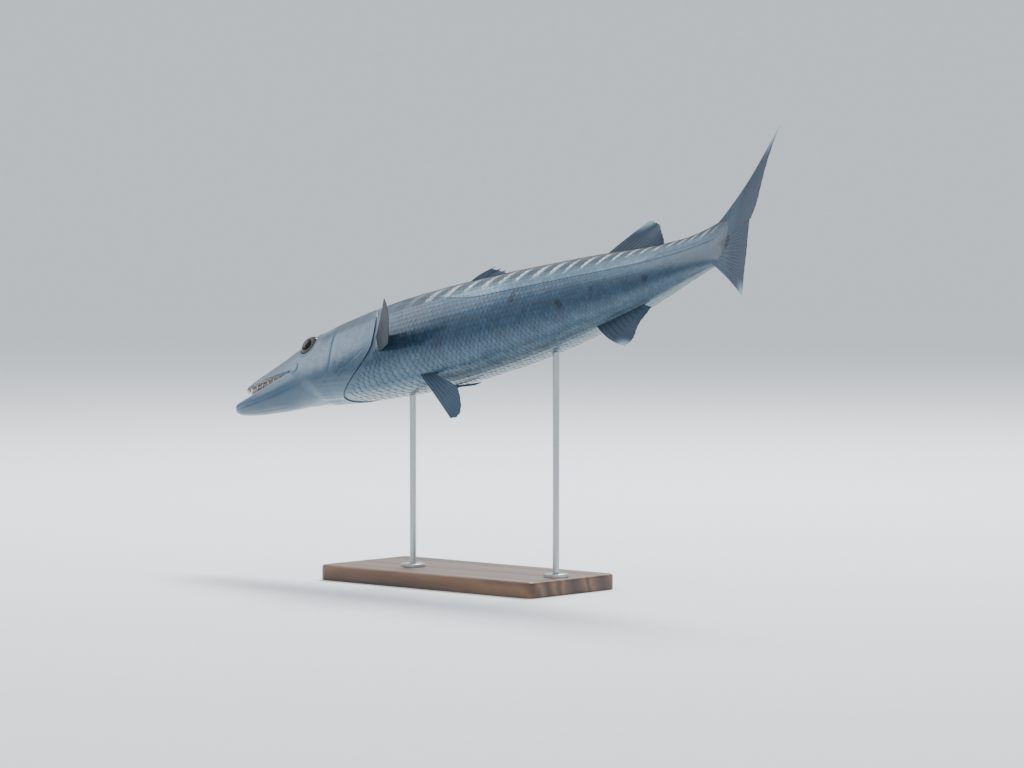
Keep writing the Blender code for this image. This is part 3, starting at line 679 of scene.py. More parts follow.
def markings(station, girth):
    """Shade from back to belly, and each mark's strength, as windows on the station and the girth."""
    size = np.abs(girth)
    ripple = np.sin(0.55 * station) + 0.6 * np.sin(1.31 * station + 2.0 + np.sign(girth))
    line = line_girth(station)
    # The shade numbers are pulled so that the lateral line falls where the ramp starts to darken: the flank
    # under it is painted shade.
    raised = (LINE_REAR - line) * ease(0.0, 0.2, size) * ease(1.0, 0.4, size) * ease(30, 42, station)

    tick_at = 0.30 - 0.09 * ease(70, 90, station)
    count = bar_count(station + BAR_SLANT * (size - tick_at) + 0.10 * ripple)
    gap = 1 - ease(0.09, 0.21, np.abs(count - np.floor(count) - 0.5))
    tick = window(tick_at - 0.09, tick_at - 0.03, tick_at + 0.03, tick_at + 0.10, size)
    faint = 0.22 * window(0.04, 0.12, tick_at - 0.06, tick_at, size)
    bar = window(0.0, 0.06, tick_at + 0.01, tick_at + 0.10, size) * window(31, 38, 96, 102, station)

    low = line - 0.085 * ease(84, 89, station)
    # A lighter band from the ticks down to the lateral line: a painted highlight, as if the back were lit
    # from above.
    strip = window(tick_at - 0.01, tick_at + 0.06, low - 0.012, low + 0.008, size)
    strip = strip * (0.55 + 0.45 * ease(64, 54, station)) * window(38, 43, 96, 101, station)

    blotch = np.zeros(np.broadcast(station, girth).shape)
    for at, height, long, deep, strength in BLOTCHES:
        across = (size - abs(height)) / deep + 0.45 * np.sin(2.9 * station + 5 * at)
        away = np.hypot((station - at) / long + 0.4 * np.sin(31 * size + at), across)
        blotch += strength * ease(1.35, 0.55, away) * (np.sign(girth) == np.sign(height))
    return {
        "shade": np.clip(size + raised + 0.008 * ripple, 0, 1),
        "wedge": gap * np.maximum(tick, faint) * window(36, 46, 97, 102, station),
        "bar": (1 - gap) * bar + 0.55 * ease(18, 8, station) * ease(0.62, 0.35, size),
        "strip": strip,
        "cheek": hump(size - 0.56, 0.12) * window(10, 16, 28, 34, station),
        "blotch": np.clip(blotch, 0, 1),
        "base": ease(98.5, 102.5, station) + 0 * size,
    }


print("bars:", round(float(bar_count(98) - bar_count(33))))

# %% [markdown]
# To paint the joined skin, each of its points is taken back from the room to the straight fish. A few
# Newton steps slide a station along the spine until the point lies square to it, and the nearest
# column of the walked table gives the girth number. The jaws and the mouth have their own tones.

# %% Paint marks for the skin's points


def from_room(points):
    """Station, up and left of points in the room, by Newton steps along the spine's heading."""
    local = (points - MIDDLE_PLACE) / CM @ POSE
    station = np.interp(local[:, 0], SPINE[1][:, 0], SPINE[0])
    for _ in range(8):
        ahead, upward, leftward = spine_axes(station)
        offset = local - read_line(station, *SPINE)
        station = station + (offset * ahead).sum(axis=1)
    return station, (offset * upward).sum(axis=1), (offset * leftward).sum(axis=1)


def girth_number(station, up, left):
    """The nearest column of the walked table to each point, signed by side."""
    row = walk_row(station).round().astype(int)
    away = (WALK_UP[row] - up[:, None]) ** 2 + (WALK_LEFT[row] - np.abs(left)[:, None]) ** 2
    return np.argmin(away, axis=1) / (WALK_UP.shape[1] - 1) * np.where(left < 0, -1, 1)


station, up, left = from_room(fetch(skin.data.vertices, "co", 3).astype(float))
girth = girth_number(station, up, left)
back, belly, side, width, _, _ = body(station)
rim, keel, jaw_width = jaw(station)
is_jaw = (station < MOUTH_CORNER + 0.3) & (up < rim + 0.12) & (up < side - 0.05)
in_palate = ~is_jaw & (station < MOUTH_CORNER) & (up < side + 0.3 * (back - side))
in_trough = is_jaw & (up > rim + 0.42 * (keel - rim))
mouth = (in_palate & (np.abs(left) < width - 0.3)) | (in_trough & (np.abs(left) < jaw_width - 0.3))
marks = markings(station, girth)
marks["mouth"] = mouth * ease(-1.2, 1.5, station)
marks["bare"] = ease(31, 27, station)
depth_on_jaw = np.clip((rim - up) / (rim - keel), 0, 1)
jaw_shade = 0.46 + 0.34 * depth_on_jaw**1.3 - 0.20 * ease(2.5, -1.5, station)
near_jaw = ease(17.5, 13.0, station) * (up < side - 0.05)
marks["shade"] = marks["shade"] * (1 - near_jaw) + jaw_shade * near_jaw
round_eye = ease(2.75, 1.95, np.hypot(station - EYE_STATION, up - EYE_UP)) * (np.abs(left) > 1.6)
# Behind the gill cover's edge a dark band is a painted shadow in the groove. It goes into the bar mark, as
# the dark ring round the eye does.
gill_groove_shadow = hump(ring_of(station, girth) - GILL_EDGE - 0.12, 0.22) * ease(0.14, 0.24, np.abs(girth))
marks["bar"] = np.maximum(marks["bar"], 1.3 * np.maximum(round_eye, gill_groove_shadow))
for name, values in marks.items():
    store(skin, name, values)
print("skin points in the mouth:", int(marks["mouth"].sum()))

# %% [markdown]
# ## Materials
#
# A museum's fish is cast in resin from a mould of the real one, painted by airbrush with pearl and
# metal lacquers, and sealed with clear gloss. So the fish's materials are paints over a cast form.
# Each colour is written as it looks on screen, and one function turns it into linear light. One small
# function adds any kind of node.

# %% Material helpers


def paint(code):
    """Linear colour from a hex code, by the standard screen curve."""
    screen = np.array([int(code[i : i + 2], 16) / 255 for i in (1, 3, 5)])
    linear = np.where(screen <= 0.04045, screen / 12.92, ((screen + 0.055) / 1.055) ** 2.4)
    return (*linear.tolist(), 1.0)


def plug(tree, node, values):
    """Gives a node's sockets what each is to have: a link from another node's output, or a plain value."""
    for key, value in values.items():
        if isinstance(value, bpy.types.NodeSocket):
            tree.links.new(value, node.inputs[key])
        else:
            node.inputs[key].default_value = value


def add(tree, kind, values=None, out=0, stops=(), **settings):
    """Adds one node with its settings, its sockets' links or values and a ramp's stops. Gives one output."""
    made = tree.nodes.new("ShaderNode" + kind)
    for key, value in settings.items():
        setattr(made, key, value)
    for place, code in stops:
        ramp = made.color_ramp.elements
        stop = ramp[0] if place == stops[0][0] else ramp[-1] if place == stops[-1][0] else ramp.new(place)
        stop.position, stop.color = place, paint(code)
    plug(tree, made, values or {})
    return made.outputs[out]


def on_shader(material, **values):
    """Gives the principled shader's sockets plain values or links. A space in a name is written _."""
    tree = material.node_tree
    plug(tree, tree.nodes["Principled BSDF"], {key.replace("_", " "): value for key, value in values.items()})
    return material


def new_material(name, **constants):
    """A material and its node tree, with plain values on the shader's own sockets."""
    material = bpy.data.materials.new(name)
    material.use_nodes = True
    return on_shader(material, **constants), material.node_tree


print("deep back colour in linear light:", np.round(paint("#192B3D"), 4).tolist())

# %% Pearl lacquer for skin and scales
# Airbrushed pearl lacquer under clear gloss, on cast resin. Mica flakes give it a soft metal glow.
# Mottling is drawn at 4 mm and 25 mm, the grain of the flakes at 0.6 mm, the bare head's skin has
# creases 2 mm apart, and the mouth's lining is blotched every 5.6 mm.
FLAKE_MM, CREASE_MM, FLESH_MM = 0.6, 2.0, 50 / 9
# The dark back is the fish's own colour. Below the lateral line the ramp darkens again and stays dark over
# the lower flank and belly, as painted shade from light above. Only the last stop is paler.
BACK_TO_BELLY = (
    (0.00, "#192B3D"), (0.13, "#223A51"), (0.30, "#35546D"), (0.45, "#3A5B75"), (0.60, "#2F4A61"),
    (0.76, "#2F485D"), (0.90, "#435D70"), (1.00, "#6C8290"),
)
LAYERS = (
    # mark on the mesh, strength, colour
    # on the skin the third layer also carries the painted shadow in the gill cover's groove
    # the second layer here is a painted highlight on the upper back
    ("cheek", 0.25, "#8FA9B9"), ("strip", 0.70, "#8FB0C4"), ("bar", 0.55, "#1D3042"),
    ("wedge", 0.95, "#D8E7EE"), ("base", 0.85, "#30495D"), ("blotch", 0.90, "#0D151D"),
)


def fish_paint(name, metallic, roughness):
    """Ramp from back to belly, each layer mixed over it by its mark, then mottling, mouth, edges and tone."""
    material, tree = new_material(
        name, Metallic=metallic, IOR=1.5, Coat_Weight=0.35, Coat_Roughness=0.12, Specular_IOR_Level=0.5
    )
    place = add(tree, "TexCoord", out="Object")
    marks = {
        mark: add(tree, "Attribute", out="Fac", attribute_name=mark)
        for mark in ("shade", "mouth", "edge", "tone", "bare", *(layer[0] for layer in LAYERS))
    }
    colour = add(tree, "ValToRGB", {"Fac": marks["shade"]}, stops=BACK_TO_BELLY)
    for mark, strength, code in LAYERS:
        amount = add(tree, "Math", {0: marks[mark], 1: strength}, operation="MULTIPLY")
        colour = add(tree, "MixRGB", {"Fac": amount, "Color1": colour, "Color2": paint(code)})
    for size_mm, strength in ((25.0, 0.44), (4.0, 0.36)):
        grain = {"Vector": place, "Scale": 1000 / size_mm, "Detail": 3.0, "Roughness": 0.6}
        span = {"From Min": 0.3, "From Max": 0.7, "To Min": 0.78, "To Max": 1.22}
        cloud = add(tree, "MapRange", {"Value": add(tree, "TexNoise", grain), **span})
        values = {"Fac": strength, "Color1": colour, "Color2": cloud}
        colour = add(tree, "MixRGB", values, blend_type="MULTIPLY")
    flesh = add(tree, "TexNoise", {"Vector": place, "Scale": 1000 / FLESH_MM, "Detail": 4.0})
    # The lining's dark flesh tone is partly its own colour and partly painted shade inside the mouth.
    flesh = add(tree, "ValToRGB", {"Fac": flesh}, stops=((0.3, "#5C4A4C"), (0.7, "#84706F")))
    colour = add(tree, "MixRGB", {"Fac": marks["mouth"], "Color1": colour, "Color2": flesh})
    dark = add(tree, "Math", {0: marks["edge"], 1: 0.30}, operation="MULTIPLY")
    colour = add(tree, "MixRGB", {"Fac": dark, "Color1": colour, "Color2": paint("#16222C")})
    tone = add(tree, "Math", {0: marks["tone"], 1: 0.18, 2: 1.0}, operation="MULTIPLY_ADD")
    colour = add(tree, "MixRGB", {"Fac": 1.0, "Color1": colour, "Color2": tone}, blend_type="MULTIPLY")

    flakes = add(tree, "TexNoise", {"Vector": place, "Scale": 1000 / FLAKE_MM, "Detail": 2.0})
    crease = add(tree, "TexVoronoi", {"Vector": place, "Scale": 1000 / CREASE_MM}, feature="SMOOTH_F1")
    crease = add(tree, "Math", {0: crease, 1: marks["bare"]}, operation="MULTIPLY")
    bump = add(tree, "Bump", {"Height": flakes, "Strength": 0.12, "Distance": 0.0004})
    bump = add(tree, "Bump", {"Height": crease, "Strength": 0.18, "Distance": 0.0005, "Normal": bump})
    gloss = add(tree, "MapRange", {"Value": flakes, "To Min": roughness - 0.06, "To Max": roughness + 0.08})
    gloss = add(tree, "Math", {0: marks["mouth"], 1: 0.25, 2: gloss}, operation="MULTIPLY_ADD")
    return on_shader(material, Base_Color=colour, Roughness=gloss, Normal=bump)


skin_paint = fish_paint("pearl_lacquered_skin", 0.30, 0.38)
scale_paint = fish_paint("pearl_lacquered_scale", 0.45, 0.30)
settle(skin, skin_paint, "flesh", "head", "lower_jaw", "trunk_front", "trunk_rear", "tail_stem")
print("materials:", skin_paint.name, scale_paint.name)

# %% [markdown]
# ## Scales
#
# Barracuda scales are thin round plates, rooted in pockets at their front and lapping like roof tiles.
# They stand in rows along the body, and each row is shifted by half a scale from the next. Here each
# scale is a small domed sheet of 5 x 5 points with one point beneath it, which closes it. All of a
# side's scales are worked out together as one array, and put over the skin by the same function that
# made the skin. Its rear edge rises by half a millimetre and its root dips under the skin.

# %% One scale's pattern
ALONG = np.array([0.0, 0.38, 0.68, 0.88, 1.0])[:, None]
ACROSS = np.array([-1.0, -0.62, 0.0, 0.62, 1.0])[None, :]
REACH = ALONG * (1 - 0.40 * np.abs(ACROSS) ** 2.4)
BREADTH = ACROSS * (0.70 + 0.30 * np.sin(math.pi * ALONG * 0.85))
DOME = (1 - ACROSS**2) * (0.3 + 0.7 * ALONG)
SHEET = np.arange(25).reshape(5, 5)
RIM_LOOP = loop_round(SHEET)
SCALE_FACES = [grid_faces(SHEET), np.stack([RIM_LOOP[1:], RIM_LOOP[:-1], np.full(16, 25)], axis=-1)]
EDGE_TINT = ease(0.62, 1.0, ALONG + 0.12 * np.abs(ACROSS))
SHARP_SCALE = math.radians(55)
PATCH = 0.003  # a scale's own width on the UV map
SIDES = {"left": 1, "right": -1}
random = np.random.default_rng(7)
print("a scale has", sum(len(faces) for faces in SCALE_FACES), "faces")

# %% [markdown]
# Every row of scales is laid by one function. Each scale differs a little from the next in length,
# breadth, lift and tone, by seeded chance. The UV map puts each scale's patch at its own station and
# girth, so that a baked picture of the coat lies as the coat does.

# %% Laying scales


def repeat(faces, count, points_each):
    """The same faces for each of many like shapes, whose points follow one another."""
    return (faces[None] + points_each * np.arange(count)[:, None, None]).reshape(-1, faces.shape[1])


def unwrapped(value):
    """A coordinate's share of its own range, just inside 0 to 1."""
    return 0.005 + 0.99 * (value - value.min()) / max(np.ptp(value), 1e-6)


def lay_scales(name, station, girth, length, breadth, sink, lift=(-0.30, 0.85, 0.10), edge=1.0):
    """Scales at roots (station, girth): the reach adds to the station, the breadth to the girth number, and
    the height rises from root to rear edge with a slight dome, less each one's sink."""
    count = len(station)
    drift = random.uniform(-1, 1, (count, 4))
    across = breadth * (1 + 0.03 * drift[:, 1]) / half_girth(station)
    columns = (station, girth, length * (1 + 0.04 * drift[:, 0]), across, sink, 1 + 0.15 * drift[:, 2])
    s0, g0, length, across, sink, swell = (v[:, None, None] for v in columns)
    s = s0 + length * (REACH - 0.40)
    g = g0 + across * BREADTH
    g = np.where(np.abs(g) > 1, g - 2 * np.sign(g), g)
    height = lift[0] + lift[1] * swell * REACH + lift[2] * DOME
    top = skin_place(np.clip(s, 0, TAIL_END), g, height - sink).reshape(count, 25, 3)
    middle = skin_place(np.clip(s0, 0, TAIL_END), g0, lift[0] - 0.15 - sink).reshape(count, 1, 3)
    points = np.concatenate([top, middle], axis=1)
    obj = make_mesh(name, points, [repeat(faces, count, 26) for faces in SCALE_FACES])
    settle(obj, scale_paint, "flesh")
    obj.data.set_sharp_from_angle(angle=SHARP_SCALE)

    for key, values in markings(s0 + 0.4 * (s - s0), g0 + 0.4 * across * BREADTH).items():
        values = values.reshape(count, 25)
        store(obj, key, np.concatenate([values, values[:, 12:13]], axis=1))
    store(obj, "tone", np.repeat(drift[:, 3], 26))
    store(obj, "edge", np.tile(np.append(edge * EDGE_TINT.ravel(), 0.0), count))
    root = np.stack([unwrapped(station), unwrapped(girth)], axis=-1)[:, None, :]
    patch = np.stack([(REACH - 0.5).ravel(), ACROSS.repeat(5, axis=0).ravel() / 2], axis=-1) * PATCH
    uv = (root + np.vstack([patch, [0.0, 0.0]])[None]).reshape(-1, 2).astype(np.float32)
    corner = fetch(obj.data.loops, "vertex_index", 1, np.int32).ravel()
    obj.data.uv_layers.new(name="OFBake").uv.foreach_set("vector", uv[corner].ravel())
    print(f"{name}: {count} scales, {len(obj.data.loop_triangles)} triangles")


def counted_along(first, last, pitch):
    """Fine steps of station, and the pitches walked by each: the running sum of step over pitch."""
    fine = np.linspace(first, last, 2000)
    return fine, np.concatenate([[0], np.cumsum(np.diff(fine) / pitch(fine[1:]))])


def lattice(first, last, rows, pitch):
    """Staggered places: stations one pitch apart, and every other row half a step on."""
    fine, counted = counted_along(first, last, pitch)
    row = np.arange(rows)
    order = np.arange(int(counted[-1]))[:, None] + 0.5 * (row % 2)[None, :]
    station = np.interp(order, counted, fine)
    girth = np.broadcast_to(-1 + (2 * row + 1) / rows, station.shape)
    return station.ravel(), girth.ravel()


print("patch on the UV map:", PATCH)

# %% Scales of the trunk
ROWS = 54


def trunk_pitch(station):
    """Spacing along a row: 8.6 mm at the shoulder and finer where the body is slimmer."""
    return 0.86 * (half_girth(station) / 22.8) ** 0.6


s, g = lattice(31.55, 102.2, ROWS, trunk_pitch)
s = s + gill_shift(s, g) + random.uniform(-0.04, 0.04, s.shape)
for hand, way in SIDES.items():
    chosen = g * way > 0
    at, pitch = s[chosen], trunk_pitch(s[chosen])
    lay_scales(f"scales_{hand}", at, g[chosen], 1.75 * pitch, 1.30 * half_girth(at) / ROWS, 0 * pitch)

# %% [markdown]
# ## Small scales on the head
#
# Scales run forward over the nape, the cheek and the gill cover, and get smaller as they go. The snout,
# jaws and the plate under the eye are bare. The same lattice is laid finer, and only the places
# inside the scaled patches are kept.

# %% Scales of the head
FINE_ROWS = 92
FINE_LIFT = (-0.16, 0.44, 0.06)


def fine_pitch(station):
    """Spacing along a row on the head, smallest at the cheek."""
    return 0.36 + 0.012 * np.clip(station - 14, 0, 18)


ring, g = lattice(14.0, 31.0, FINE_ROWS, fine_pitch)
s = ring + gill_shift(ring, g)
up, left, _, _ = outline(s, g)
size = np.abs(g)
off_back = ease(0.24, 0.30, size)
eye = np.hypot(s - EYE_STATION, up - EYE_UP)
nape = ease(18.0, 21.5, s - 6 * size) * ease(0.40, 0.34, size)
cheek = window(14.8, 16.4, 21.6, 22.4, s) * ease(2.45, 3.1, eye) * ease(-2.6, -1.6, up) * off_back
cover = ease(22.8, 23.6, s) * ease(-0.8, 0.3, up + 5.9 - 0.42 * (s - 22.5)) * off_back
scaled = np.maximum(np.maximum(nape, cheek), cover) * ease(29.9, 28.9, ring)
for hand, way in SIDES.items():
    chosen = (scaled > 0.12) & (g * way > 0)
    at, sink = s[chosen], 0.34 * (1 - scaled[chosen])
    length, breadth = 1.7 * fine_pitch(at), 1.25 * half_girth(at) / FINE_ROWS
    lay_scales(f"head_scales_{hand}", at, g[chosen], length, breadth, sink, FINE_LIFT, 0.8)

# %% [markdown]
# ## The lateral line
#
# A row of pored scales runs from the top of the gill cover to the tail. Each carries a short raised
# tube, with which a living fish feels what moves near it. They are narrow plates of the same pattern.

# %% Pored tubes
PORE_LIFT, PORE_BREADTH = (0.35, 0.45, 0.55), 0.13
fine, counted = counted_along(32.4, 100.5, trunk_pitch)
pores = np.interp(np.arange(int(counted[-1])), counted, fine)
breadth = PORE_BREADTH + 0 * pores
for hand, way in SIDES.items():
    place = pores, way * line_girth(pores)
    lay_scales(f"lateral_line_{hand}", *place, 0.98 * trunk_pitch(pores), breadth, 0 * pores, PORE_LIFT, 0.6)

# %% [markdown]
# ## Eyes
#
# A taxidermist's eye is a solid glass lens, painted from behind: a black pupil, a thin gold ring and a
# silver iris with dusky streaks. Each eye is one smooth flattened ball, set as deep as the socket. Two
# numbers on its points, the distance from the pupil's middle and the turn round it, place the paint.

# %% Glass eyes
EYE_RINGS, EYE_COLUMNS = 48, 72
BALL_RADIUS = EYE_RADIUS - 0.03
BEHIND = 2.0  # more than any distance from the pupil that shows
IRIS = (
    (0.0, "#010102"), (0.49, "#020303"), (0.51, "#8A6E3C"), (0.535, "#6E6752"), (0.61, "#4C575C"),
    (0.72, "#36424A"), (0.83, "#1B242B"), (1.0, "#0A0E11"),
)


def surface_left(station, up):
    """How far left the outline is at one station and height, read from the walked table."""
    row = int(round(walk_row(station)))
    order = np.argsort(WALK_UP[row])
    return np.interp(up, WALK_UP[row][order], WALK_LEFT[row][order])


def eye_material():
    """Solid glass, polished, with the iris painted behind it. Streaks run out from the pupil, 0.5 mm wide."""
    gloss = {"Roughness": 0.05, "Specular_IOR_Level": 0.2, "Coat_Weight": 0.05, "Coat_Roughness": 0.02}
    material, tree = new_material("painted_glass_eye", IOR=1.5, **gloss)
    marks = "from_pupil", "round_pupil", "brow_shade"
    marks = (add(tree, "Attribute", out="Fac", attribute_name=mark) for mark in marks)
    from_pupil, round_pupil, brow_shade = marks
    round_way = add(tree, "Math", {0: round_pupil, 1: 9.0}, operation="MULTIPLY")
    outwards = add(tree, "Math", {0: from_pupil, 1: 0.9}, operation="MULTIPLY")
    spokes = add(tree, "CombineXYZ", {"X": round_way, "Y": outwards})
    streak = add(tree, "TexNoise", {"Vector": spokes, "Scale": 3.0, "Detail": 4.0, "Roughness": 0.65})
    wander = add(tree, "Math", {0: streak, 1: 0.05, 2: -0.025}, operation="MULTIPLY_ADD")
    ring = add(tree, "Math", {0: from_pupil, 1: 0.5, 2: wander}, operation="MULTIPLY_ADD")
    colour = add(tree, "ValToRGB", {"Fac": ring}, stops=IRIS)
    dusk = add(tree, "ValToRGB", {"Fac": streak}, stops=((0.35, "#4A5459"), (0.65, "#FFFFFF")))
    colour = add(tree, "MixRGB", {"Fac": 0.6, "Color1": colour, "Color2": dusk}, blend_type="MULTIPLY")
    shaded = add(tree, "Math", {0: brow_shade, 1: 0.7}, operation="MULTIPLY")
    colour = add(tree, "MixRGB", {"Fac": shaded, "Color1": colour, "Color2": paint("#151B20")})
    return on_shader(material, Base_Color=colour)


glass_eye = eye_material()
centre = surface_left(EYE_STATION, EYE_UP) + EYE_BULGE - EYE_DEPTH
pole, turn = np.meshgrid(np.linspace(0.02, math.pi - 0.02, EYE_RINGS), circle(EYE_COLUMNS), indexing="ij")
along, across = (BALL_RADIUS * np.sin(pole) * f(turn) for f in (np.cos, np.sin))
outward = np.cos(pole) * (1 + 0.04 * hump(pole, 0.55))
pupil = np.hypot(along + 0.08, across) * (1 - 0.10 * np.clip(-np.cos(turn), 0, 1) ** 3)
pupil = np.where(outward < 0, BEHIND, pupil)
eye_marks = {
    "from_pupil": (pupil, pupil[0].mean(), BEHIND),
    "round_pupil": (np.abs(turn - math.pi) / math.pi, 0, 0),
    "brow_shade": (ease(0.2, 1.0, across * 1.05 / BALL_RADIUS), 0, 0),
}
for hand, way in SIDES.items():
    ball = on_fish(EYE_STATION + along, EYE_UP + across, way * (centre + EYE_DEPTH * outward))
    obj = make_tube(f"glass_eye_{hand}", ball)
    for mark, (values, first, last) in eye_marks.items():
        store(obj, mark, np.append(values.ravel(), [first, last]))
    settle(obj, glass_eye, "eye", f"eye_{hand}")
print("eye:", round(20 * BALL_RADIUS, 1), "mm across, centre", round(centre * 10, 1), "mm from the mid plane")

# %% [markdown]
# ## Teeth
#
# A barracuda's teeth are flat-sided daggers of uneven length. A few large ones stand in the roof of the
# mouth and at the tip of the lower jaw, and a row of small ones lines the edge of each jaw. Each tooth
# is a tapering tube whose middle line leans back as it rises, and each jaw's teeth are one piece.

# %% Rows of teeth
UPPER_FANGS = ((0.9, 1.10), (1.9, 1.25), (3.4, 0.70), (4.8, 0.60), (6.2, 0.60), (7.6, 0.50), (9.0, 0.45))
LOWER_FANGS = ((-0.9, 0.95), (1.6, 0.55), (3.2, 0.65), (4.8, 0.75), (6.4, 0.80), (8.0, 0.80), (9.6, 0.70))
SMALL_TEETH, LAST_TOOTH = 30, 11.6
FANG_INSET, SMALL_INSET = 0.76, 0.90
TOOTH_RINGS, TOOTH_SIDES = 8, 10


def tooth_material():
    """Cast ivory resin, waxed: warm and faintly see-through at the root, paler at the point."""
    material, tree = new_material(
        "waxed_ivory_resin", Roughness=0.22, IOR=1.54, Subsurface_Weight=0.15, Subsurface_Scale=0.002
    )
    grown = add(tree, "Attribute", out="Fac", attribute_name="grown")
    ivory = (0.15, "#B89C7C"), (0.4, "#E3D8BF"), (1.0, "#F4F1E6")
    colour = add(tree, "ValToRGB", {"Fac": grown}, stops=ivory)
    return on_shader(material, Base_Color=colour)


def set_teeth(name, station, up, left, height, way):
    """Each tooth's ring at share a: radius times (1 - a) to the 0.85, up by a, and back by a squared."""
    count = len(station)
    share, turn = np.linspace(0, 0.985, TOOTH_RINGS)[None, :, None], circle(TOOTH_SIDES)
    station, up, left, tall = (v[:, None, None] for v in (station, up, left, height))
    radius = (0.065 + 0.165 * tall) * (1 - share) ** 0.85
    s = station + 0.16 * tall * share**2 + 1.15 * radius * np.cos(turn)
    out = left - 0.05 * tall * share * np.sign(left) + 0.62 * radius * np.sin(turn)
    rings = on_fish(s, up + way * (tall + 0.32) * share, out)
    points = np.concatenate([rings.reshape(count, -1, 3), rings.mean(axis=2)[:, [0, -1]]], axis=1)
    faces = tube_faces(TOOTH_RINGS, TOOTH_SIDES)
    obj = make_mesh(name, points, [repeat(group, count, points.shape[1]) for group in faces])
    settle(obj, tooth_resin, "flesh")
    grown = np.broadcast_to(share, rings.shape[:3]).reshape(count, -1)
    store(obj, "grown", np.concatenate([grown, grown[:, :1], grown[:, -1:]], axis=1))
    print(f"{name}: {count} teeth, longest {float(height.max()) * 10:.1f} mm")


tooth_resin = tooth_material()
for name, fangs, rim_at, tip, way in (
    ("teeth_upper", UPPER_FANGS, lambda s: (body(s)[2], body(s)[3]), 0.0, -1),
    ("teeth_lower", LOWER_FANGS, lambda s: (jaw(s)[0], jaw(s)[2]), JAW_TIP, 1),
):
    big = np.array(fangs)
    small = np.linspace(big[0, 0] - 0.5, LAST_TOOTH, SMALL_TEETH)
    station = np.concatenate([big[:, 0], small])
    height = np.concatenate([big[:, 1], 0.20 + 0.07 * np.sin(7.1 * small)])
    inset = np.repeat([FANG_INSET, SMALL_INSET], [len(big), len(small)])
    rim_up, rim_left = rim_at(station)
    left = rim_left * inset * tip_rounding(station, tip, 1.2)
    both = [np.tile(v, 2) for v in (station, rim_up - 0.30 * way, height)]
    set_teeth(name, both[0], both[1], np.concatenate([left, -left]), both[2], way)

# %% [markdown]
# ## Fins
#
# A fin is a thin web stretched over rays, which fork as they near the margin. Each fin here is a sheet
# worked out from its root line and its margin, with a comb across it that thickens the sheet at every
# ray. The comb's teeth split in two as the reach grows, the web sags back between the rays at the
# margin, and a slight wave keeps the sheet from being flat.

# %% Fin resin
# Tinted clear resin, airbrushed and satin sealed, with clouds 14 mm across. Joints cross the rays every
# 1.5 mm, and are drawn coarser to show, 36 to a ray.
JOINTS, CLOUD_MM = 36, 100 / 7


def fin_material(name, web_low, web_high, ray_colour, tip_colour):
    """A ramp by the reach, under rays, pale tips, joints (a sine of the reach), dark base and blotch."""
    material, tree = new_material(name, IOR=1.5, Coat_Weight=0.08, Coat_Roughness=0.3, Specular_IOR_Level=0.3)
    place = add(tree, "TexCoord", out="Object")
    marks = "reach", "ray", "tip", "base", "blotch"
    marks = (add(tree, "Attribute", out="Fac", attribute_name=mark) for mark in marks)
    reach, ray, tip, base, blotch = marks
    grain = {"Vector": place, "Scale": 1000 / CLOUD_MM, "Detail": 4.0, "Roughness": 0.6}
    cloud = add(tree, "TexNoise", grain)
    patchy = add(tree, "Math", {0: cloud, 1: 0.5, 2: reach}, operation="MULTIPLY_ADD")
    colour = add(tree, "ValToRGB", {"Fac": patchy}, stops=((0.30, web_low), (1.0, web_high)))
    rayed = add(tree, "Math", {0: ray, 1: 0.65}, operation="MULTIPLY")
    tipped = add(tree, "Math", {0: cloud, 1: 0.45}, operation="ADD")
    tipped = add(tree, "Math", {0: tip, 1: tipped}, operation="MULTIPLY")
    joints = add(tree, "Math", {0: reach, 1: 2 * math.pi * JOINTS}, operation="MULTIPLY")
    joints = add(tree, "Math", {0: joints}, operation="SINE")
    joints = add(tree, "Math", {0: joints, 1: ray}, operation="MULTIPLY")
    jointed = add(tree, "Math", {0: joints, 1: 0.30}, operation="MULTIPLY", use_clamp=True)
    amounts = rayed, tipped, jointed, base, blotch
    for amount, code in zip(amounts, (ray_colour, tip_colour, web_low, "#30495D", "#0D151D")):
        colour = add(tree, "MixRGB", {"Fac": amount, "Color1": colour, "Color2": paint(code)})
    bump = add(tree, "Bump", {"Height": joints, "Strength": 0.35, "Distance": 0.0003})
    rough = add(tree, "MapRange", {"Value": cloud, "To Min": 0.46, "To Max": 0.60})
    return on_shader(material, Base_Color=colour, Roughness=rough, Normal=bump)


dark_fin = fin_material("smoke_tinted_fin_resin", "#1B2C3D", "#2C435A", "#142230", "#9FB7C6")
pale_fin = fin_material("grey_tinted_fin_resin", "#22364A", "#3B546A", "#1B2D3E", "#A9BFCB")
ink_fin = fin_material("ink_tinted_fin_resin", "#0C151D", "#1C2A37", "#080E14", "#3C4C59")
print("fin materials:", dark_fin.name, pale_fin.name, ink_fin.name)

# %% Rays and webs


def comb(across, reach, rays, forks, first=0):
    """Height of the rays over the web, 0 to 1: rounded teeth at even shares, each one sliding into two at a
    fork, by a step that halves with the fork's number."""
    shifts = np.zeros((1, 1, 1))
    for number, fork in enumerate(forks, first):
        slide = 0.25 / 2**number / rays * ease(fork, fork + 0.35, reach)
        shifts = np.concatenate([shifts - slide, shifts + slide])
    sharp = 9 + 14 * np.clip(reach, 0, 1)
    return (np.abs(np.cos(math.pi * rays * (across[None] + shifts))) ** sharp).max(axis=0)


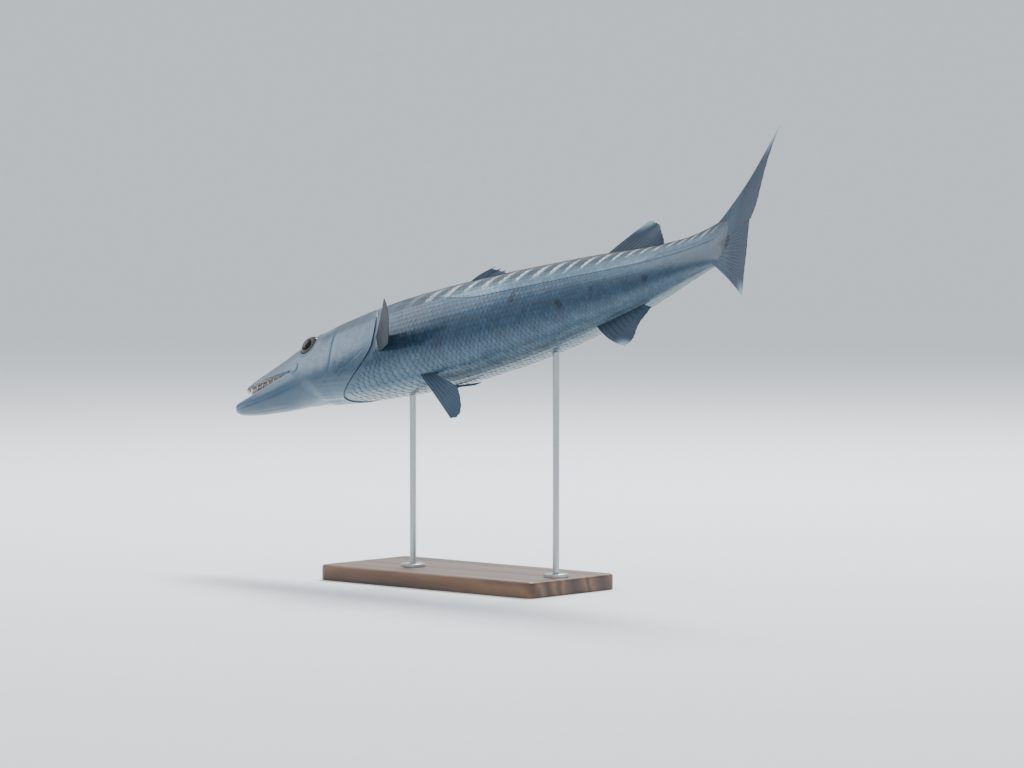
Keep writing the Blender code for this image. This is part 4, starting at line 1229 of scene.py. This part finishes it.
def make_fin(node_name, sheet_at, material, rays, forks, size, web, root, ray, incised, marks=None):
    """A fin from its sheet, a function of across (0 front to 1 rear) and reach (0 root to 1 margin). It is as
    thick as its web, plus a root that falls off as a power, plus its rays. Its margin is cut between them."""
    name = node_name.replace("fin", "web")
    across, reach = np.meshgrid(np.linspace(0, 1, size[1]), np.linspace(-0.06, 1, size[0]), indexing="xy")
    raised = comb(across, reach, rays, forks)
    last = comb(across[-1:], np.ones((1, size[1])), rays, forks[-1:], len(forks) - 1)
    grown = reach * (1 - incised * (1 - last)) ** (reach > 0)
    outer = np.clip(reach, 0, 1)
    flare = root * np.clip(1 - reach, 0, 1.06) ** 2.6
    thick = web * (1 - 0.45 * outer) + flare + ray * raised * (1 - 0.6 * outer)
    obj = make_plate(name, sheet_at(across, grown), CM * thick)
    for mark, values in {"reach": outer, "ray": raised, **(marks or {})}.items():
        values = values(across, reach) if callable(values) else values
        store(obj, mark, np.tile(values.ravel(), 2))
    settle(obj, material, "pale_fin" if name[0] == "p" else "fin", node_name)
    print(f"{name}: {rays} rays, {2 * len(obj.data.polygons)} triangles")


print("four rays, sampled:", comb(np.linspace(0, 1, 9)[None], np.zeros((1, 9)), 4, ()).round(2).tolist())

# %% [markdown]
# The fins on the midline take their margins from a curve through three places, the same as the solids
# have. The first dorsal fin has five stiff spines and a notched web. The others have soft rays.

# %% Midline fins
PALE_TIP = {"tip": lambda t, v: ease(0.62, 1.0, v) * ease(0.30, 0.04, t)}
SOFT_RAYS = (dark_fin, 9, (0.30, 0.62), (80, 181), 0.035, 0.20, 0.045, 0.02, PALE_TIP)
SPINES = (dark_fin, 4, (), (60, 121), 0.04, 0.16, 0.07, 0.10)


def bezier(places, t):
    """A curve that starts at the first place, ends at the third and is drawn towards the second."""
    a, b, c = (np.array(place)[:, None, None] for place in places)
    return a * (1 - t) ** 2 + b * 2 * t * (1 - t) + c * t**2


def midline_sheet(root, margin, bow, way, wave):
    """Straight lines from the root to the margin, bowed at the front, with a sideways wave that grows out."""

    def sheet_at(t, v):
        root_station = root[0] + t * (root[1] - root[0])
        edge_station, edge_height = bezier(margin, t)
        column = 0 if way > 0 else 1
        root_up = body(root_station)[column] - 0.10 * way
        edge_up = body(np.minimum(edge_station, TAIL_ROOT))[column] + way * edge_height
        swell = bow * 4 * v * (1 - v) * (1 - t)
        station = root_station * (1 - v) + edge_station * v - swell
        up = root_up * (1 - v) + edge_up * v + way * swell * 0.6
        return on_fish(station, up, wave * v * v * np.sin(9 * t + 2.0 * v))

    return sheet_at


for name, root, margin, bow, way, wave, build in (
    ("first_dorsal_fin", (43.4, 53.0), ((49.4, 3.3), (51.4, 2.6), (54.0, 0.40)), 0.9, 1, 0.10, SPINES),
    ("second_dorsal_fin", (71.8, 82.0), ((81.0, 5.2), (84.2, 4.7), (85.0, 0.6)), 0.5, 1, 0.22, SOFT_RAYS),
    ("anal_fin", (73.6, 83.0), ((81.0, 6.2), (82.5, 4.9), (84.8, 0.9)), 0.5, -1, 0.22, SOFT_RAYS),
):
    make_fin(name, midline_sheet(root, margin, bow, way, wave), *build)

# %% Tail fin
UPPER_MARGIN = ((110.2, 0.0), (110.8, 2.0), (111.1, 4.2), (111.9, 7.0), (113.4, 10.0), (115.4, 13.1))
LOWER_MARGIN = ((109.8, 0.0), (109.9, 2.6), (110.4, 5.2), (111.2, 8.2), (112.2, 11.0), (113.2, 14.0))
TAIL_MARKS = {
    "tip": lambda t, v: ease(0.80, 1.0, t) * ease(0.72, 1.0, v),
    "base": lambda t, v: 0.85 * ease(0.62, 0.30, v + 0.10 * t),
}
LOWER_MARKS = {
    **TAIL_MARKS,
    "blotch": lambda t, v: 0.9 * ease(1.2, 0.7, np.hypot((v - 0.27) / 0.10, (t - 0.14) / 0.20)),
}


def tail_sheet(way, margin):
    """A lobe's straight rays from the tail's root to its margin, a smooth curve through six places."""

    def sheet_at(t, v):
        knots = np.linspace(0, 1, len(margin))
        edge = [smooth_through(t, knots, np.array(column)) for column in zip(*margin)]
        outer = abs(float(body(TAIL_ROOT)[0 if way > 0 else 1]))
        station = (TAIL_ROOT + 0.1) * (1 - v) + edge[0] * v
        up = 0.985 * t * outer * (1 - v) + edge[1] * v
        return on_fish(station, way * up, 0.20 * v * v * np.sin(5.0 * t + 3.0 * v))

    return sheet_at


LOBE = dark_fin, 9, (0.22, 0.52), (90, 200), 0.04, 0.36, 0.055, 0.012
make_fin("tail_fin_upper", tail_sheet(1, UPPER_MARGIN), *LOBE, TAIL_MARKS)
make_fin("tail_fin_lower", tail_sheet(-1, LOWER_MARGIN), *LOBE, LOWER_MARKS)

# %% [markdown]
# The paired fins stand out from the flanks and the belly. Each root is a short line on the skin, and
# each ray is a straight reach from it, long at the front of the fin and short at the rear.

# %% Paired fins
PECTORAL_ROOT, PELVIC_ROOT = ((33.0, -1.2), (33.9, -3.9)), ((40.4, -8.0), (43.0, -8.1))
PAIRED = {
    "pectoral_fin_left": (PECTORAL_ROOT, (7.6, 0.6, 7.9), (4.6, -1.6, 3.4), 1),
    "pectoral_fin_right": (PECTORAL_ROOT, (10.4, -0.6, 1.9), (5.4, -1.4, 1.3), -1),
    "pelvic_fin_left": (PELVIC_ROOT, (8.2, -9.4, 0.3), (5.6, -3.6, 0.3), 1),
    "pelvic_fin_right": (PELVIC_ROOT, (7.0, -0.6, 0.3), (4.8, -0.2, 0.4), -1),
}


def paired_sheet(root, front, rear, way):
    """Root point plus reach times its share, swollen a little at the middle rays, with a shallow cupping."""

    def sheet_at(t, v):
        station, up = (a * (1 - t) + b * t for a, b in zip(*root))
        _, belly, side, width, _, power = body(station)
        share = np.clip((side - up) / (side - belly), 0, 0.999)
        left = width * (1 - share**power) ** (1 / power) - 0.05
        swell = 1 + 0.22 * np.sin(math.pi * t)
        reach = [(a * (1 - t) + b * t) * swell for a, b in zip(front, rear)]
        cup = 0.35 * v * np.sin(math.pi * t) * v
        return on_fish(station + v * reach[0], up + v * reach[1], way * (left + v * reach[2] - cup))

    return sheet_at


for name, shape in PAIRED.items():
    resin, rays = (ink_fin, 11) if "pectoral" in name else (pale_fin, 5)
    make_fin(name, paired_sheet(*shape), resin, rays, (0.30, 0.60), (70, 130), 0.035, 0.14, 0.04, 0.015)

# %% [markdown]
# ## The stand
#
# The museum's stand is a plain walnut board with eased edges, and two steel rods on turned feet. The
# board is a stack of rounded rectangles, and the rods and feet are profiles carried round an axis. They
# stay exactly where the solids are.

# %% Board, rods and feet
BOARD = (0.44, 0.20, 0.024)
BOARD_CORNER, BOARD_EASE, BOARD_BEVEL = 0.014, 0.004, 0.0008
FOOT_RADIUS, FOOT_EASE, ROD_RADIUS, NECK_RADIUS = 0.019, 0.0015, 0.005, 0.008
SHARP_STAND = math.radians(40)


def board_rings():
    """Rounded rectangles by height: a small bevel below, a plumb side and a quarter-round edge above."""
    turn = np.linspace(0, math.pi / 2, 13)
    low, high = BOARD_BEVEL * np.sin(turn[::4]), BOARD[2] - BOARD_EASE * (1 - np.sin(turn))
    inset = np.concatenate([BOARD_BEVEL - low, BOARD_EASE * (1 - np.cos(turn)), [0.006, 0.012]])
    height = np.concatenate([low, high, [BOARD[2], BOARD[2]]])
    arc = (np.arange(4)[:, None] * math.pi / 2 + turn[None, :]).ravel()
    sign = np.repeat([(1, 1), (-1, 1), (-1, -1), (1, -1)], 13, axis=0)
    centre = sign * (np.array(BOARD[:2]) / 2 - BOARD_CORNER)
    radius, spokes = (BOARD_CORNER - inset)[:, None, None], np.stack([np.cos(arc), np.sin(arc)], axis=-1)
    flat = centre[None] + radius * spokes[None]
    return np.concatenate([flat, np.broadcast_to(height[:, None, None], flat.shape[:2] + (1,))], axis=2)


def turned(node_name, profile):
    """A profile of (radius, height) carried round the upright axis through the middle of its node."""
    low, high = (np.array(corner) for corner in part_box(node_name))
    x, y = (low[:2] + high[:2]) / 2
    turn = circle(48)[None, :]
    radius, height = (np.array(column)[:, None] for column in zip(*profile(low[2], high[2])))
    return np.stack([x + radius * np.cos(turn), y + radius * np.sin(turn), height + 0 * turn], axis=-1)


def foot_profile(low, high):
    """A low disc with a softened top edge."""
    edge = np.linspace(0, math.pi / 2, 6)
    softened = zip(FOOT_RADIUS - FOOT_EASE * (1 - np.cos(edge)), high - FOOT_EASE * (1 - np.sin(edge)))
    return [(FOOT_RADIUS, low), *softened, (NECK_RADIUS, high)]


def rod_profile(low, high):
    """A straight rod of 10 mm with an eased top."""
    return [(ROD_RADIUS, low), *((ROD_RADIUS, h) for h in np.linspace(low, high - 0.001, 12)), (0.004, high)]


print("board of", BOARD, "m, rods", 2000 * ROD_RADIUS, "mm across")

# %% Walnut and steel
BAND_MM = 18 * math.pi


def walnut_material():
    """Black walnut, flat sawn, planed, oiled and waxed. The growth rings meet the face in broad bands 57 mm
    apart. Grain streaks are 1.2 mm wide, and pores 0.3 x 6 mm."""
    material, tree = new_material("oiled_walnut", IOR=1.5, Coat_Weight=0.2, Coat_Roughness=0.3)
    place = add(tree, "TexCoord", out="Object")
    bend = add(tree, "TexNoise", {"Vector": place, "Scale": 1000 / 200, "Detail": 2.0}, out="Color")
    moved = add(tree, "MixRGB", {"Fac": 0.018, "Color1": place, "Color2": bend}, blend_type="ADD")
    long = add(tree, "Mapping", {"Vector": moved, "Location": (0.3, 0.35, 0.12), "Scale": (0.10, 1.0, 1.0)})
    # At scale 1 this node's waves are 2 pi / 20 of a metre long.
    bands = 2 * math.pi / 20 * 1000 / BAND_MM
    waves = {"Vector": long, "Scale": bands, "Distortion": 5.0, "Detail": 3.0, "Detail Scale": 2.0}
    rings = add(tree, "TexWave", waves, out="Fac", wave_type="RINGS", rings_direction="X")
    streaks = add(tree, "Mapping", {"Vector": moved, "Scale": (0.06, 1.0, 1.0)})
    fine = add(tree, "TexNoise", {"Vector": streaks, "Scale": 1000 / 1.2, "Detail": 4.0, "Roughness": 0.6})
    pores = add(tree, "Mapping", {"Vector": place, "Scale": (0.05, 1.0, 1.0)})
    pores = add(tree, "TexVoronoi", {"Vector": pores, "Scale": 1000 / 0.9})
    pores = add(tree, "MapRange", {"Value": pores, "From Min": 0.12, "From Max": 0.26})
    browns = ((0.0, "#3A2417"), (0.45, "#5E3F29"), (0.8, "#74523A"), (1.0, "#4A2F1E"))
    colour = add(tree, "ValToRGB", {"Fac": rings}, stops=browns)
    for grain, strength, span in (
        (fine, 0.8, {"From Min": 0.3, "From Max": 0.7, "To Min": 0.72, "To Max": 1.18}),
        (pores, 1.0, {"To Min": 0.55, "To Max": 1.0}),
    ):
        shade = add(tree, "MapRange", {"Value": grain, **span})
        values = {"Fac": strength, "Color1": colour, "Color2": shade}
        colour = add(tree, "MixRGB", values, blend_type="MULTIPLY")
    bump = add(tree, "Bump", {"Height": pores, "Strength": 0.35, "Distance": 0.0003})
    rough = add(tree, "MapRange", {"Value": fine, "To Min": 0.34, "To Max": 0.5})
    return on_shader(material, Base_Color=colour, Roughness=rough, Normal=bump)


def steel_material():
    """Stainless steel, brushed round the rod with grit that leaves lines 0.2 mm apart, drawn at 0.4 mm."""
    material, tree = new_material("brushed_stainless_steel", Metallic=1.0)
    place = add(tree, "TexCoord", out="Object")
    lines = add(tree, "Mapping", {"Vector": place, "Scale": (0.04, 0.04, 1.0)})
    brushed = add(tree, "TexNoise", {"Vector": lines, "Scale": 1000 / 0.4, "Detail": 3.0})
    colour = add(tree, "ValToRGB", {"Fac": brushed}, stops=((0.3, "#A6A8A9"), (0.7, "#B6B8B9")))
    rough = add(tree, "MapRange", {"Value": brushed, "To Min": 0.27, "To Max": 0.36})
    bump = add(tree, "Bump", {"Height": brushed, "Strength": 0.07, "Distance": 0.0001})
    return on_shader(material, Base_Color=colour, Roughness=rough, Normal=bump)


walnut, steel = walnut_material(), steel_material()
pieces = [("stand_board", "stand_base", board_rings(), walnut, "walnut")]
for place in ("front", "rear"):
    for piece, node_name, profile in (
        (f"stand_turned_foot_{place}", f"stand_foot_{place}", foot_profile),
        (f"stand_steel_rod_{place}", f"stand_rod_{place}", rod_profile),
    ):
        pieces.append((piece, node_name, turned(node_name, profile), steel, "steel"))
for piece, node_name, rings, material, slot_name in pieces:
    obj = make_tube(piece, rings)
    settle(obj, material, slot_name, node_name)
    obj.data.set_sharp_from_angle(angle=SHARP_STAND)
print("stand pieces:", [piece for piece, *_ in pieces])

# %% [markdown]
# ## Studio, light and camera
#
# The model stands on a pale floor that curves up all round into a bowl, so there is no horizon from any
# side. A broad soft light comes from above and behind the fish's back, so the back is bright and the
# flank lies in soft shade. Two weak ones fill the camera's side and the head. The camera keeps the
# photograph's angle and framing.

# %% Floor that curves into walls
FLOOR_RINGS, FLOOR_COLUMNS = 24, 96
FLOOR_RADIUS, WALL_RADIUS = 12.0, 5.0
climb = np.linspace(0.05, math.pi / 2, FLOOR_RINGS)
flat = np.linspace(0.5, FLOOR_RADIUS, FLOOR_RINGS)
radii = np.concatenate([flat, FLOOR_RADIUS + WALL_RADIUS * np.sin(climb)])
heights = np.concatenate([np.zeros(FLOOR_RINGS), WALL_RADIUS * (1 - np.cos(climb))])
around = circle(FLOOR_COLUMNS)
bowl = [radii[:, None] * np.cos(around), radii[:, None] * np.sin(around), heights[:, None] + 0 * around]
points = np.vstack([np.stack(bowl, axis=-1).reshape(-1, 3), [[0, 0, 0]]])
quads, middle, _ = tube_faces(len(radii), FLOOR_COLUMNS)
floor = make_mesh("studio_floor", points, [quads[:, ::-1], middle[:, ::-1]])
# Matt painted plaster, rolled on: a faint 30 mm mottling.
plaster, tree = new_material("matt_painted_plaster", Roughness=0.9, IOR=1.45, Specular_IOR_Level=0.2)
place = add(tree, "TexCoord", out="Object")
cloud = add(tree, "TexNoise", {"Vector": place, "Scale": 1000 / 30, "Detail": 2.0})
wash = add(tree, "ValToRGB", {"Fac": cloud}, stops=((0.3, "#E2E7EA"), (0.7, "#E5EAED")))
floor.data.materials.append(on_shader(plaster, Base_Color=wash))
floor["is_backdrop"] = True
print("floor:", len(floor.data.polygons), "faces")

# %% Lights and camera
AZIMUTH, ELEVATION = math.radians(41.71), math.radians(3.0)
CAMERA_AWAY, LENS_MM, SENSOR_MM = 6.381, 146.6, 36.0
SOFTBOXES = (
    # name, place, watts, size in metres
    ("key_softbox", (-1.0, 2.4, 4.2), 420.0, 1.5),
    ("fill_softbox", (2.6, -3.4, 2.2), 24.0, 3.0),
    ("head_softbox", (-3.4, -0.6, 2.0), 24.0, 2.0),
)


def aimed(obj, place, target):
    """Puts a light or camera at a place, pointing its -Z axis at the target."""
    away = np.array(place) - np.array(target)
    away = away / np.linalg.norm(away)
    right = np.cross([0, 0, 1], away)
    right /= np.linalg.norm(right)
    matrix = np.eye(4)
    matrix[:3] = np.stack([right, np.cross(away, right), away, place], axis=1)
    obj.matrix_world = Matrix(matrix.tolist())
    COLLECTION.objects.link(obj)
    return obj


for name, place, watts, size in SOFTBOXES:
    lamp = bpy.data.lights.new(name, "AREA")
    lamp.energy, lamp.size = watts, size
    aimed(bpy.data.objects.new(name, lamp), place, (0.05, 0.0, 0.4)).visible_camera = False

world = bpy.data.worlds.new("studio_air")
world.use_nodes = True
plug(world.node_tree, world.node_tree.nodes["Background"], {"Color": paint("#EEF3F7"), "Strength": 1.1})
bpy.context.scene.world = world

right = np.array([math.cos(AZIMUTH), math.sin(AZIMUTH), 0.0])
level = math.cos(ELEVATION)
away = np.array([math.sin(AZIMUTH) * level, -math.cos(AZIMUTH) * level, math.sin(ELEVATION)])
seat = MIDDLE_PLACE + 0.0375 * right - 0.0889 * np.cross(away, right)
lens = bpy.data.cameras.new("camera")
lens.lens, lens.sensor_width = LENS_MM, SENSOR_MM
camera = aimed(bpy.data.objects.new("camera", lens), seat + CAMERA_AWAY * away, seat)
bpy.context.scene.camera = camera
print("camera height:", round(float(camera.matrix_world[2][3]), 3), "m")

# %% [markdown]
# ## Check the size and finish
#
# The dressed model must fill the same box as the solids. Both boxes are written down to be compared.

# %% Compare the boxes and finish
bpy.context.view_layer.update()
DRESSED_BOX = [list(corner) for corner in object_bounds()]
grown = np.array(DRESSED_BOX) - np.array(SOLID_BOX)
print("dressed box differs by mm:", np.round(grown * 1000, 1).tolist())
